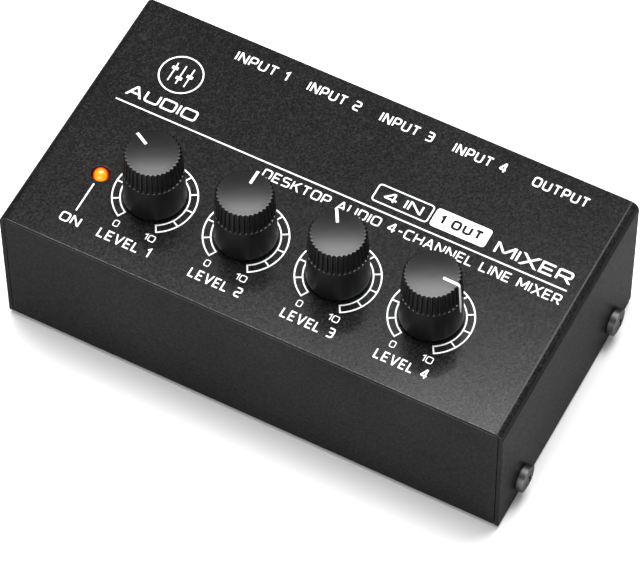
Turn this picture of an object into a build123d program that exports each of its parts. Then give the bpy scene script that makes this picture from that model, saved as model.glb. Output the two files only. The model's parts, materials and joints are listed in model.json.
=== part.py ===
from build123d import *
from math import atan2, cos, degrees, radians, sin
import os

# Four-channel desktop line mixer. Millimetres, +Z up, front wall towards -Y.
# Origin: middle of the overall box, on the surface that the feet stand on.

# --- case ---
CASE_WIDTH = 120.0
CASE_DEPTH = 65.6
CASE_HEIGHT = 36.5
SHEET = 1.0
BEND_RADIUS = 2.1
TRAY_CORNER_RADIUS = 0.35
SEAM_GAP = 0.15
FOOT_HEIGHT = 1.0
FOOT_RADIUS = 5.0
FOOT_INSET = (9.0, 8.0)
FOOT_ROUND = 0.4
FLANGE_HEIGHT = 10.0
FLANGE_LENGTH = 56.0

# --- side screws, M3 pan head ---
SCREW_SPACING = 44.7
SCREW_RISE = 5.5
SCREW_SHANK_RADIUS = 1.5
SCREW_SHANK_LENGTH = 5.0
SCREW_HEAD_RADIUS = 3.2
SCREW_COLLAR_HEIGHT = 0.3
SCREW_RIM_HEIGHT = 1.7
SCREW_HEAD_HEIGHT = 2.2
SCREW_HOLE_RADIUS = 1.7

# --- every screw head, as shares of its radius ---
COLLAR_SHARE = 0.8
BULGE_SHARE = 0.62
RECESS_SPAN = 1.05
RECESS_WIDTH = 0.24
RECESS_DEPTH = 0.4

# --- sockets ---
SOCKET_REACH = 3.7
SOCKET_PITCH = 17.7
FIRST_SOCKET_X = -28.5
OUTPUT_SOCKET_X = 43.7
SOCKET_WIDTH = 15.6
SOCKET_LENGTH = 28.5
SOCKET_HEIGHT = 13.0
SOCKET_WALL = 1.2
NOSE_RADIUS = 4.76
NOSE_HOLE_RADIUS = 4.95
NOSE_WALL = 2.2
PLUG_BORE_RADIUS = 3.25
MOUTH_CHAMFER = 0.4
WASHER_RADIUS = 7.4
WASHER_THICKNESS = 0.6
NUT_ACROSS_FLATS = 13.0
NUT_THICKNESS = 2.2
SOCKET_ROUND = 0.6
CAVITY_HALF_WIDTH = 5.4
CAVITY_ROOF = 1.9
NUT_CORNER_DROP = 0.9
NUT_FACE_INSET = 0.1
CONTACT_THICKNESS = 0.3
CONTACT_WIDTH = 3.0
CONTACT_TOP_GAP = 0.2
SLEEVE_RIB_RADIUS = 0.8
SLEEVE_BLADE_DROP = 2.0
PIN_ROOT = 1.0
PIN_RADIUS = 0.4
PIN_HOLE_RADIUS = 0.55
PIN_STICK_OUT = 1.2

# --- DC inlet ---
INLET_X = -46.5
INLET_WIDTH = 9.0
INLET_LENGTH = 13.4
INLET_HEIGHT = 11.0
INLET_NOSE_RADIUS = 4.3
INLET_HOLE_RADIUS = 4.5
INLET_BORE_RADIUS = 3.05
INLET_BORE_DEPTH = 10.0
INLET_PIN_RADIUS = 1.02
INLET_PROUD = 0.3
INLET_ROUND = 0.5
INLET_PIN_SUNK = 1.2
INLET_PIN_ROUND = 0.8
INLET_PIN_TAIL = 1.0
TAG_HALF_WIDTH = 0.8
SPRING_WIDTH = 2.0
SPRING_LENGTH = 11.6
SPRING_SLOT = (2.4, 11.0, 1.2)
SPRING_LEG = 3.0

# --- board ---
BOARD_WIDTH = 110.0
BOARD_THICKNESS = 1.6
BOARD_UNDERSIDE = 25.0
BOARD_FRONT_GAP = 3.2
BOARD_REAR_GAP = 2.0
BOARD_CORNER = 1.5
STANDOFF_X = 50.0
STANDOFF_INSET = 7.5
STANDOFF_ACROSS_FLATS = 5.5
STANDOFF_SPIGOT_RADIUS = 2.1
STANDOFF_TAP_DEPTH = 8.0
BOARD_SCREW_HEAD = (2.8, 0.2, 1.4, 2.2)
BOARD_SCREW_LENGTH = 7.0

# --- knobs and potentiometers ---
KNOB_COUNT = 4
KNOB_PITCH = 22.05
KNOB_ROW_CENTRE = 0.3
KNOB_ROW_FORWARD = 13.1
KNOB_ANGLES = (-60.0, 0.0, -30.0, 90.0)
KNOB_GAP = 1.0
KNOB_HEIGHT = 15.2
KNOB_CROWN = 0.25
CROWN_FLAT_RADIUS = 1.5
CROWN_MIDWAY = 0.8
KNOB_BASE_RADIUS = 6.9
KNOB_RIB_RADIUS = 6.6
KNOB_TOP_RADIUS = 6.25
KNOB_RIB_START = 9.1
KNOB_EDGE_ROUND = 0.45
FLUTE_STEP = 10.0
FLUTE_RADIUS = 0.36
FLUTE_INSET = 0.1
KNOB_RECESS_RADIUS = 5.6
KNOB_RECESS_DEPTH = 2.0
POINTER_WIDTH = 0.88
POINTER_DEPTH = 0.5
POINTER_RISE = 0.3
POINTER_PROUD = 0.12
POINTER_CORNER = 0.8
POINTER_START = 2.5
POINTER_FOOT = 5.4
POINTER_TAPER = 2.0
POINTER_TIP_WIDTH = 0.2
SHAFT_RADIUS = 3.0
SHAFT_FLAT = 1.5
SHAFT_TOP_ABOVE_PANEL = 13.0
SHAFT_FIT = 0.04
SHAFT_SPIGOT_RADIUS = 2.0
SHOULDER_RADIUS = 4.2
BUSHING_RADIUS = 3.5
BUSHING_HOLE_RADIUS = 3.7
CAN_RADIUS = 8.0
CAN_HEIGHT = 6.4
CAN_WALL = 0.5
CAN_ROOF = 0.8
CAN_ROUND = 0.4
BUSHING_SUNK = 0.2
WAFER_THICKNESS = 1.2
WAFER_WIDTH = 13.0
WAFER_NOTCH = (13.2, 9.4, 1.3)
WIPER_RADIUS = 5.0
WIPER_THICKNESS = 1.2
WIPER_LIFT = 2.1
WIPER_FOOT = (1.2, 0.7, 0.6)
WIPER_FOOT_SPOTS = ((-4.0, -0.8, -0.5), (-4.0, 0.8, -0.5))
SPIGOT_STICK_OUT = 0.5
SHOULDER_GAP = 0.3
TAB_REACH = 7.1
TAB_WIDTH = 2.0
STOP_INNER_RADIUS = 5.4
STOP_WIDTH = 2.4
STOP_DROP = 0.3
TERMINAL_PITCH = 5.0
TERMINAL_REACH = 9.5
EYELET_RADIUS = 1.0
EYELET_HEIGHT = 0.4
LEAD_STICK_OUT = 1.5

# --- power light ---
LED_X = -46.0
LED_ROW_FORWARD = 13.2
LED_RADIUS = 1.9
LED_RISE = 1.1
LED_HOLE_RADIUS = 2.05
LED_FLANGE_RADIUS = 2.3
LED_FLANGE_HEIGHT = 0.9
LED_BARREL = 4.3
LEAD_PITCH = 1.27
LEAD_SIZE = 0.5

# --- parts on the board ---
CHIP_BODY = (6.4, 9.8, 3.3)
CHIP_LIFT = 0.5
CHIP_LEG_PITCH = 2.54
CHIP_LEG_SPAN = 7.8
CHIP_LEG_FOOT = (0.3, 0.6, 2.1)
CHIP_LEG_ARM = (1.2, 0.3)
CHIP_LEG_ARM_RISE = 1.8
CHIP_MARK = (0.8, 0.4)
CHIP_Y_BACK = 19.9
SMALL_CAPACITOR = (2.5, 7.5)
SUPPLY_CAPACITOR = (4.0, 9.2)
SMALL_CAPACITOR_OFFSET = 3.2
SMALL_CAPACITOR_ROUND = 0.4
SUPPLY_CAPACITOR_ROUND = 0.5
FILM_BODY = (2.5, 7.2, 6.5)
FILM_OFFSET = 2.9
FILM_ROUND = 0.5
RESISTOR_BODY = (0.9, 5.0)
RESISTOR_LEAD_SPAN = 8.0
RESISTOR_LEAD_RADIUS = 0.25
FRONT_RESISTOR_COUNT = 8
FRONT_RESISTOR_PITCH = 11.0
REAR_RESISTOR_OFFSET = 2.9
DIODE_BODY = (1.3, 4.2)
REGULATOR_RADIUS = 2.4
REGULATOR_HEIGHT = 4.8
REGULATOR_LIFT = 1.5
REGULATOR_FLAT = 6.0
REGULATOR_LEG_SIZE = 0.45

# --- places worked out from the dimensions above ---
CASE_BOTTOM = FOOT_HEIGHT
CASE_TOP = FOOT_HEIGHT + CASE_HEIGHT
FLOOR_TOP = CASE_BOTTOM + SHEET
COVER_UNDERSIDE = CASE_TOP - SHEET
FRONT_FACE = -(CASE_DEPTH + SOCKET_REACH) / 2
REAR_FACE = FRONT_FACE + CASE_DEPTH
REAR_INSIDE = REAR_FACE - SHEET
CASE_MIDDLE_Y = (FRONT_FACE + REAR_FACE) / 2
BOARD_TOP = BOARD_UNDERSIDE + BOARD_THICKNESS
BOARD_FRONT = FRONT_FACE + BOARD_FRONT_GAP
BOARD_REAR = REAR_FACE - BOARD_REAR_GAP
SOCKET_Z = BOARD_UNDERSIDE - SOCKET_HEIGHT / 2
SOCKET_END = REAR_INSIDE - SOCKET_LENGTH
INPUT_SOCKET_X = [FIRST_SOCKET_X + n * SOCKET_PITCH for n in range(4)]
SOCKET_X = INPUT_SOCKET_X + [OUTPUT_SOCKET_X]
TIP_PIN_Y = REAR_FACE - 12.0
SWITCH_PIN_Y = REAR_FACE - 27.6
SLEEVE_PIN_Y = REAR_FACE - 6.0
SLEEVE_X = -4.4
INLET_Z = SOCKET_Z
INLET_BACK = REAR_INSIDE - INLET_LENGTH
INLET_TAIL_Y = INLET_BACK - 0.6
KNOB_Y = CASE_MIDDLE_Y - KNOB_ROW_FORWARD
KNOB_X = [KNOB_ROW_CENTRE + (n - (KNOB_COUNT - 1) / 2) * KNOB_PITCH for n in range(KNOB_COUNT)]
KNOB_BASE = CASE_TOP + KNOB_GAP
KNOB_TOP = KNOB_BASE + KNOB_HEIGHT
SHAFT_TOP = CASE_TOP + SHAFT_TOP_ABOVE_PANEL
SHAFT_FLAT_START = KNOB_BASE + KNOB_RECESS_DEPTH
TERMINAL_Y = KNOB_Y - TERMINAL_REACH
LED_Y = CASE_MIDDLE_Y - LED_ROW_FORWARD
LED_BASE = CASE_TOP + LED_RISE - LED_RADIUS - LED_BARREL - LED_FLANGE_HEIGHT
SCREW_Y = (CASE_MIDDLE_Y - SCREW_SPACING / 2, CASE_MIDDLE_Y + SCREW_SPACING / 2)
SCREW_Z = CASE_BOTTOM + SCREW_RISE
STANDOFF_Y = FRONT_FACE + STANDOFF_INSET
CHIP_Y = REAR_FACE - CHIP_Y_BACK
SMALL_CAPACITOR_Y = CASE_MIDDLE_Y + 0.5
FILM_Y = CASE_MIDDLE_Y + 9.9
REAR_RESISTOR_Y = CASE_MIDDLE_Y + 18.0
FRONT_RESISTOR_Y = BOARD_FRONT + 3.2
TIP_GROOVE_Y = REAR_FACE - 22.6
SWITCH_BLADE_END_Y = REAR_FACE - 24.2
CONTACT_TOP = BOARD_UNDERSIDE - CONTACT_TOP_GAP
FRONT_RESISTOR_X = [
    (n - (FRONT_RESISTOR_COUNT - 1) / 2) * FRONT_RESISTOR_PITCH for n in range(FRONT_RESISTOR_COUNT)
]
SUPPLY_CAPACITOR_Y = (SMALL_CAPACITOR_Y, SMALL_CAPACITOR_Y + 9.5)
SUPPLY_PARTS_Y = 16.0
REGULATOR_X = INLET_X + 3.5
DIODE_SPOTS = [(INLET_X - 5.5, SUPPLY_PARTS_Y), (INLET_X - 2.5, SUPPLY_PARTS_Y)]

LIFT = (Align.CENTER, Align.CENTER, Align.MIN)
FULL_TURN = 360


def level_plane(x, y, z):
    """Horizontal plane, facing up."""
    return Plane(origin=(x, y, z), x_dir=(1, 0, 0), z_dir=(0, 0, 1))


def front_plane(x, y, z):
    """Upright plane facing the front, with its own X to the right and its own Y up."""
    return Plane(origin=(x, y, z), x_dir=(1, 0, 0), z_dir=(0, -1, 0))


def rear_plane(x, y, z):
    """Upright plane facing the rear, with its own Y up."""
    return Plane(origin=(x, y, z), x_dir=(-1, 0, 0), z_dir=(0, 1, 0))


def side_plane(x, y, z):
    """Upright plane facing right, with its own X to the rear and its own Y up."""
    return Plane(origin=(x, y, z), x_dir=(0, 1, 0), z_dir=(1, 0, 0))


def knob_plane(x, angle, z):
    """Horizontal plane on a knob's axis, turned so that its X follows the knob's pointer."""
    turn = radians(angle)
    return Plane(origin=(x, KNOB_Y, z), x_dir=(sin(turn), cos(turn), 0), z_dir=(0, 0, 1))


def pointer_plane(x, angle, z):
    """Upright plane through a knob's axis: X runs out along the pointer, Y runs up."""
    turn = radians(angle)
    return Plane(origin=(x, KNOB_Y, z), x_dir=(sin(turn), cos(turn), 0), z_dir=(cos(turn), -sin(turn), 0))


def outward_plane(x, angle, z):
    """Upright plane on a knob's axis that faces out along the pointer, with its own Y up."""
    turn = radians(angle)
    return Plane(origin=(x, KNOB_Y, z), x_dir=(-cos(turn), sin(turn), 0), z_dir=(sin(turn), cos(turn), 0))


def save(builder, name):
    """Label a finished piece and write it as its own STEP file."""
    builder.part.label = name
    export_step(builder.part, f"parts/{name}.step")


def pan_screw(seat, axis, radius, collar_height, rim_height, head_height, shank_length):
    """Pan-head screw with a cross recess; seat is where the collar under its head meets the sheet."""
    across = Vector(0, 1, 0)
    collar_radius = COLLAR_SHARE * radius
    bulge = BULGE_SHARE * (head_height - rim_height)
    with BuildPart() as screw:
        with BuildSketch(Plane(origin=seat, x_dir=across, z_dir=across.cross(axis))):
            with BuildLine():
                Polyline(
                    (0, head_height),
                    (0, -shank_length),
                    (SCREW_SHANK_RADIUS, -shank_length),
                    (SCREW_SHANK_RADIUS, 0),
                    (collar_radius, 0),
                    (collar_radius, collar_height),
                    (radius, collar_height),
                    (radius, rim_height),
                )
                ThreePointArc(
                    (radius, rim_height),
                    (BULGE_SHARE * radius, rim_height + bulge),
                    (0, head_height),
                )
            make_face()
        revolve(axis=Axis(seat, axis))
        with BuildSketch(Plane(origin=seat + axis * head_height, x_dir=across, z_dir=axis)):
            Rectangle(RECESS_SPAN * radius, RECESS_WIDTH * radius)
            Rectangle(RECESS_WIDTH * radius, RECESS_SPAN * radius)
        extrude(amount=-RECESS_DEPTH * radius, mode=Mode.SUBTRACT)
    return screw.part


def make_top_cover():
    """Top panel and both side walls, folded from one sheet."""
    inner_width = CASE_WIDTH - 2 * SHEET
    inner_height = CASE_HEIGHT - SHEET
    with BuildPart() as cover:
        with BuildSketch(front_plane(0, FRONT_FACE, 0)) as wrap:
            with Locations((0, CASE_BOTTOM + CASE_HEIGHT / 2)):
                Rectangle(CASE_WIDTH, CASE_HEIGHT)
            fillet(wrap.vertices().group_by(Axis.Y)[-1], BEND_RADIUS)
            with BuildSketch(mode=Mode.PRIVATE) as hollow:
                with Locations((0, CASE_BOTTOM + inner_height / 2)):
                    Rectangle(inner_width, inner_height)
                fillet(hollow.vertices().group_by(Axis.Y)[-1], BEND_RADIUS - SHEET)
            add(hollow.sketch, mode=Mode.SUBTRACT)
        extrude(amount=-CASE_DEPTH)
        with Locations(*[(x, KNOB_Y, CASE_TOP) for x in KNOB_X]):
            Hole(BUSHING_HOLE_RADIUS, depth=2 * SHEET)
        with Locations((LED_X, LED_Y, CASE_TOP)):
            Hole(LED_HOLE_RADIUS, depth=2 * SHEET)
        for side in (-1, 1):
            wall = Plane(origin=(side * CASE_WIDTH / 2, 0, SCREW_Z), x_dir=(0, 1, 0), z_dir=(side, 0, 0))
            with BuildSketch(wall):
                with Locations(*[(y, 0) for y in SCREW_Y]):
                    Circle(SCREW_HOLE_RADIUS)
            extrude(amount=-2 * SHEET, mode=Mode.SUBTRACT)
    save(cover, "top_cover")


def make_chassis():
    """Front wall, floor and rear wall in one folded sheet, with an upright flange at each side."""
    width = CASE_WIDTH - 2 * SHEET - 2 * SEAM_GAP
    height = COVER_UNDERSIDE - CASE_BOTTOM
    with BuildPart() as chassis:
        with BuildSketch(side_plane(-width / 2, 0, 0)) as tray:
            with Locations((CASE_MIDDLE_Y, CASE_BOTTOM + height / 2)):
                Rectangle(CASE_DEPTH, height)
            fillet(tray.vertices().group_by(Axis.Y)[0], TRAY_CORNER_RADIUS)
            with Locations((CASE_MIDDLE_Y, FLOOR_TOP + height / 2)):
                Rectangle(CASE_DEPTH - 2 * SHEET, height, mode=Mode.SUBTRACT)
        extrude(amount=width)
        top_corners = chassis.edges().filter_by(Axis.Y).group_by(Axis.Z)[-1]
        fillet(top_corners, BEND_RADIUS - SHEET)
        for side in (-1, 1):
            with Locations((side * (width - SHEET) / 2, CASE_MIDDLE_Y, CASE_BOTTOM)):
                Box(SHEET, FLANGE_LENGTH, FLANGE_HEIGHT, align=LIFT)
            flange = Plane(origin=(side * width / 2, 0, SCREW_Z), x_dir=(0, 1, 0), z_dir=(side, 0, 0))
            with BuildSketch(flange):
                with Locations(*[(y, 0) for y in SCREW_Y]):
                    Circle(SCREW_SHANK_RADIUS)
            extrude(amount=-2 * SHEET, mode=Mode.SUBTRACT)
        with BuildSketch(front_plane(0, REAR_FACE, SOCKET_Z)):
            with Locations(*[(x, 0) for x in SOCKET_X]):
                Circle(NOSE_HOLE_RADIUS)
            with Locations((INLET_X, 0)):
                Circle(INLET_HOLE_RADIUS)
        extrude(amount=2 * SHEET, both=True, mode=Mode.SUBTRACT)
        with Locations(*[(side * STANDOFF_X, STANDOFF_Y, FLOOR_TOP) for side in (-1, 1)]):
            Hole(STANDOFF_SPIGOT_RADIUS, depth=2 * SHEET)
    save(chassis, "chassis")


def make_cover_screws():
    """Two screws through each side wall into the chassis flange."""
    head = (SCREW_HEAD_RADIUS, SCREW_COLLAR_HEIGHT, SCREW_RIM_HEIGHT, SCREW_HEAD_HEIGHT)
    pieces = []
    for side in (-1, 1):
        for y in SCREW_Y:
            seat = Vector(side * CASE_WIDTH / 2, y, SCREW_Z)
            pieces.append(pan_screw(seat, Vector(side, 0, 0), *head, SCREW_SHANK_LENGTH))
    with BuildPart() as screws:
        add(pieces)
    save(screws, "cover_screws")


def make_rubber_feet():
    """Four thin self-adhesive pads under the chassis floor."""
    foot_x = CASE_WIDTH / 2 - FOOT_INSET[0]
    foot_y = CASE_DEPTH / 2 - FOOT_INSET[1]
    with BuildPart() as feet:
        with Locations((0, CASE_MIDDLE_Y, 0)):
            with GridLocations(2 * foot_x, 2 * foot_y, 2, 2):
                Cylinder(FOOT_RADIUS, FOOT_HEIGHT, align=LIFT)
        fillet(feet.edges().group_by(Axis.Z)[0], FOOT_ROUND)
    save(feet, "rubber_feet")


def make_circuit_board():
    """One board that carries the potentiometers on top and the sockets underneath."""
    pins = [(x, TIP_PIN_Y) for x in SOCKET_X]
    pins += [(x, SWITCH_PIN_Y) for x in SOCKET_X]
    pins += [(x + SLEEVE_X, SLEEVE_PIN_Y) for x in SOCKET_X]
    pins += [(x + n * TERMINAL_PITCH, TERMINAL_Y) for x in KNOB_X for n in (-1, 0, 1)]
    pins += [(INLET_X, INLET_TAIL_Y)]
    with BuildPart() as board:
        with BuildSketch(level_plane(0, (BOARD_FRONT + BOARD_REAR) / 2, BOARD_UNDERSIDE)) as outline:
            Rectangle(BOARD_WIDTH, BOARD_REAR - BOARD_FRONT)
            fillet(outline.vertices(), BOARD_CORNER)
        extrude(amount=BOARD_THICKNESS)
        with BuildSketch(level_plane(0, 0, BOARD_UNDERSIDE)):
            with Locations(*pins):
                Circle(PIN_HOLE_RADIUS)
            with Locations(*[(side * STANDOFF_X, STANDOFF_Y) for side in (-1, 1)]):
                Circle(SCREW_HOLE_RADIUS)
            with Locations(*[(LED_X + side * LEAD_PITCH, LED_Y) for side in (-1, 1)]):
                Circle(PIN_HOLE_RADIUS)
        extrude(amount=BOARD_THICKNESS, mode=Mode.SUBTRACT)
    save(board, "circuit_board")


def make_board_standoffs():
    """Hexagon pillars pressed into the chassis floor, tapped at the top."""
    with BuildPart() as standoffs:
        for side in (-1, 1):
            with BuildSketch(level_plane(side * STANDOFF_X, STANDOFF_Y, FLOOR_TOP)):
                RegularPolygon(STANDOFF_ACROSS_FLATS / 2, 6, major_radius=False)
            extrude(amount=BOARD_UNDERSIDE - FLOOR_TOP)
            with BuildSketch(level_plane(side * STANDOFF_X, STANDOFF_Y, CASE_BOTTOM)):
                Circle(STANDOFF_SPIGOT_RADIUS)
            extrude(amount=SHEET)
            with BuildSketch(level_plane(side * STANDOFF_X, STANDOFF_Y, BOARD_UNDERSIDE)):
                Circle(SCREW_SHANK_RADIUS)
            extrude(amount=-STANDOFF_TAP_DEPTH, mode=Mode.SUBTRACT)
    save(standoffs, "board_standoffs")


def make_board_screws():
    """Screws that hold the board's front edge down on the standoffs."""
    seats = [Vector(side * STANDOFF_X, STANDOFF_Y, BOARD_TOP) for side in (-1, 1)]
    pieces = [pan_screw(seat, Vector(0, 0, 1), *BOARD_SCREW_HEAD, BOARD_SCREW_LENGTH) for seat in seats]
    with BuildPart() as screws:
        add(pieces)
    save(screws, "board_screws")


def make_socket(x, name):
    """Moulded 6.35 mm socket: box under the board with a threaded nose through the rear wall."""
    cavity_length = SOCKET_LENGTH - NOSE_WALL - SOCKET_WALL
    cavity_half_height = SOCKET_HEIGHT / 2 - CAVITY_ROOF
    with BuildPart() as socket:
        with Locations((x, SOCKET_END + SOCKET_LENGTH / 2, BOARD_UNDERSIDE - SOCKET_HEIGHT)):
            Box(SOCKET_WIDTH, SOCKET_LENGTH, SOCKET_HEIGHT, align=LIFT)
        fillet(socket.edges().filter_by(Axis.Y), SOCKET_ROUND)
        with BuildSketch(rear_plane(x, REAR_INSIDE, SOCKET_Z)):
            Circle(NOSE_RADIUS)
        extrude(amount=SHEET + SOCKET_REACH)
        chamfer(socket.edges().group_by(Axis.Y)[-1], MOUTH_CHAMFER)
        with Locations((x, SOCKET_END + SOCKET_WALL + cavity_length / 2, SOCKET_Z - cavity_half_height)):
            Box(2 * CAVITY_HALF_WIDTH, cavity_length, SOCKET_HEIGHT, align=LIFT, mode=Mode.SUBTRACT)
        with BuildSketch(rear_plane(x, REAR_FACE + SOCKET_REACH, SOCKET_Z)):
            Circle(PLUG_BORE_RADIUS)
        extrude(amount=-(SOCKET_REACH + SHEET + NOSE_WALL), mode=Mode.SUBTRACT)
        mouth = socket.faces().sort_by(Axis.Y)[-1].edges().sort_by(SortBy.RADIUS)[0]
        chamfer(mouth, MOUTH_CHAMFER)
    save(socket, name)


def make_socket_washers():
    """Flat washer between the rear wall and each nut."""
    with BuildPart() as washers:
        for x in SOCKET_X:
            with BuildSketch(rear_plane(x, REAR_FACE, SOCKET_Z)):
                Circle(WASHER_RADIUS)
                Circle(NOSE_HOLE_RADIUS, mode=Mode.SUBTRACT)
            extrude(amount=WASHER_THICKNESS)
    save(washers, "jack_washers")


def make_socket_nuts():
    """Hexagon nuts on the socket noses, with their outer corners turned down."""
    corner_radius = NUT_ACROSS_FLATS / 2 / cos(radians(30))
    turned_radius = NUT_ACROSS_FLATS / 2 - NUT_FACE_INSET
    clear_radius = corner_radius + NUT_CORNER_DROP
    seat = REAR_FACE + WASHER_THICKNESS
    with BuildPart() as nuts:
        for x in SOCKET_X:
            with BuildSketch(rear_plane(x, seat, SOCKET_Z)):
                RegularPolygon(NUT_ACROSS_FLATS / 2, 6, major_radius=False)
                Circle(NOSE_RADIUS, mode=Mode.SUBTRACT)
            extrude(amount=NUT_THICKNESS)
            with BuildSketch(side_plane(x, seat + NUT_THICKNESS, SOCKET_Z)):
                with BuildLine():
                    Polyline(
                        (NUT_FACE_INSET, turned_radius),
                        (NUT_FACE_INSET, clear_radius),
                        (-NUT_CORNER_DROP, clear_radius),
                        (0, turned_radius),
                        close=True,
                    )
                make_face()
            revolve(axis=Axis((x, seat, SOCKET_Z), (0, 1, 0)), mode=Mode.SUBTRACT)
    save(nuts, "jack_nuts")


def add_board_pin(x, y):
    """Round solder pin that rises through the board."""
    with Locations((x, y, BOARD_UNDERSIDE - PIN_ROOT)):
        Cylinder(PIN_RADIUS, PIN_ROOT + BOARD_THICKNESS + PIN_STICK_OUT, align=LIFT)


def leaf(x, points):
    """Bent contact strip; one of its faces follows the given (y, z) points."""
    with BuildPart() as strip:
        with BuildSketch(side_plane(x - CONTACT_WIDTH / 2, 0, 0)):
            with BuildLine():
                Polyline(*points)
                offset(amount=CONTACT_THICKNESS, side=Side.RIGHT)
            make_face()
        extrude(amount=CONTACT_WIDTH)
    return strip.part


def make_tip_contacts():
    """Sprung leaf that drops into the groove behind the plug's tip."""
    bends = [
        (TIP_PIN_Y, CONTACT_TOP),
        (TIP_PIN_Y, SOCKET_Z + 4.6),
        (TIP_GROOVE_Y + 1.6, SOCKET_Z + 3.9),
        (TIP_GROOVE_Y, SOCKET_Z + 2.2),
        (TIP_GROOVE_Y - 1.8, SOCKET_Z + 3.6),
    ]
    leaves = [leaf(x, bends) for x in SOCKET_X]
    with BuildPart() as contacts:
        add(leaves)
        for x in SOCKET_X:
            add_board_pin(x, TIP_PIN_Y)
    save(contacts, "jack_tip_contacts")


def make_switch_contacts():
    """Fixed blade over the tip leaf's end, which breaks contact when a plug lifts the leaf."""
    bends = [
        (SWITCH_BLADE_END_Y, SOCKET_Z + 4.3),
        (SWITCH_PIN_Y, SOCKET_Z + 4.3),
        (SWITCH_PIN_Y, CONTACT_TOP),
    ]
    leaves = [leaf(x, bends) for x in SOCKET_X]
    with BuildPart() as contacts:
        add(leaves)
        for x in SOCKET_X:
            add_board_pin(x, SWITCH_PIN_Y)
    save(contacts, "jack_switch_contacts")


def make_sleeve_contacts():
    """Side blade with a round rib that bears on the plug's sleeve."""
    blade_bottom = SOCKET_Z - SLEEVE_BLADE_DROP
    with BuildPart() as contacts:
        for x in SOCKET_X:
            with Locations((x + SLEEVE_X, SLEEVE_PIN_Y, blade_bottom)):
                Box(CONTACT_THICKNESS, CONTACT_WIDTH, CONTACT_TOP - blade_bottom, align=LIFT)
            with Locations((x + SLEEVE_X + 0.1, SLEEVE_PIN_Y, SOCKET_Z)):
                Cylinder(SLEEVE_RIB_RADIUS, CONTACT_WIDTH, rotation=(90, 0, 0))
            add_board_pin(x + SLEEVE_X, SLEEVE_PIN_Y)
    save(contacts, "jack_sleeve_contacts")


def make_dc_jack():
    """Moulded power inlet with its centre pin and its spring contact."""
    mouth = REAR_FACE + INLET_PROUD
    bore_end = mouth - INLET_BORE_DEPTH
    strip_top = INLET_Z - INLET_BORE_RADIUS + 0.1
    tag_bottom = INLET_Z - TAG_HALF_WIDTH
    with BuildPart() as housing:
        with Locations((INLET_X, INLET_BACK + INLET_LENGTH / 2, BOARD_UNDERSIDE - INLET_HEIGHT)):
            Box(INLET_WIDTH, INLET_LENGTH, INLET_HEIGHT, align=LIFT)
        fillet(housing.edges().filter_by(Axis.Y), INLET_ROUND)
        with BuildSketch(rear_plane(INLET_X, REAR_INSIDE, INLET_Z)):
            Circle(INLET_NOSE_RADIUS)
        extrude(amount=SHEET + INLET_PROUD)
        with BuildSketch(rear_plane(INLET_X, mouth, INLET_Z)):
            Circle(INLET_BORE_RADIUS)
        extrude(amount=-INLET_BORE_DEPTH, mode=Mode.SUBTRACT)
        with BuildSketch(rear_plane(INLET_X, bore_end, INLET_Z)):
            Circle(INLET_PIN_RADIUS)
        extrude(amount=-INLET_LENGTH, mode=Mode.SUBTRACT)
        with Locations((INLET_X, INLET_BACK + SPRING_SLOT[1] / 2, strip_top - 0.5)):
            Box(*SPRING_SLOT, align=LIFT, mode=Mode.SUBTRACT)
        rim = housing.faces().sort_by(Axis.Y)[-1].edges().sort_by(SortBy.RADIUS)[0]
        chamfer(rim, MOUTH_CHAMFER)
    save(housing, "dc_jack_housing")

    with BuildPart() as pin:
        with BuildSketch(rear_plane(INLET_X, INLET_BACK - INLET_PIN_TAIL, INLET_Z)):
            Circle(INLET_PIN_RADIUS)
        extrude(amount=mouth - INLET_PIN_SUNK - INLET_BACK)
        fillet(pin.edges().group_by(Axis.Y)[-1], INLET_PIN_ROUND)
        with Locations((INLET_X, INLET_TAIL_Y, tag_bottom)):
            Box(2 * TAG_HALF_WIDTH, CONTACT_THICKNESS, CONTACT_TOP - tag_bottom, align=LIFT)
        add_board_pin(INLET_X, INLET_TAIL_Y)
    save(pin, "dc_centre_pin")

    with BuildPart() as strip:
        with Locations((INLET_X, INLET_BACK + 4.7, strip_top - CONTACT_THICKNESS)):
            Box(SPRING_WIDTH, SPRING_LENGTH, CONTACT_THICKNESS, align=LIFT)
        with Locations((INLET_X, INLET_BACK - 1.25, strip_top - SPRING_LEG)):
            Box(SPRING_WIDTH, CONTACT_THICKNESS, SPRING_LEG, align=LIFT)
    save(strip, "dc_spring_contact")


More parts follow.
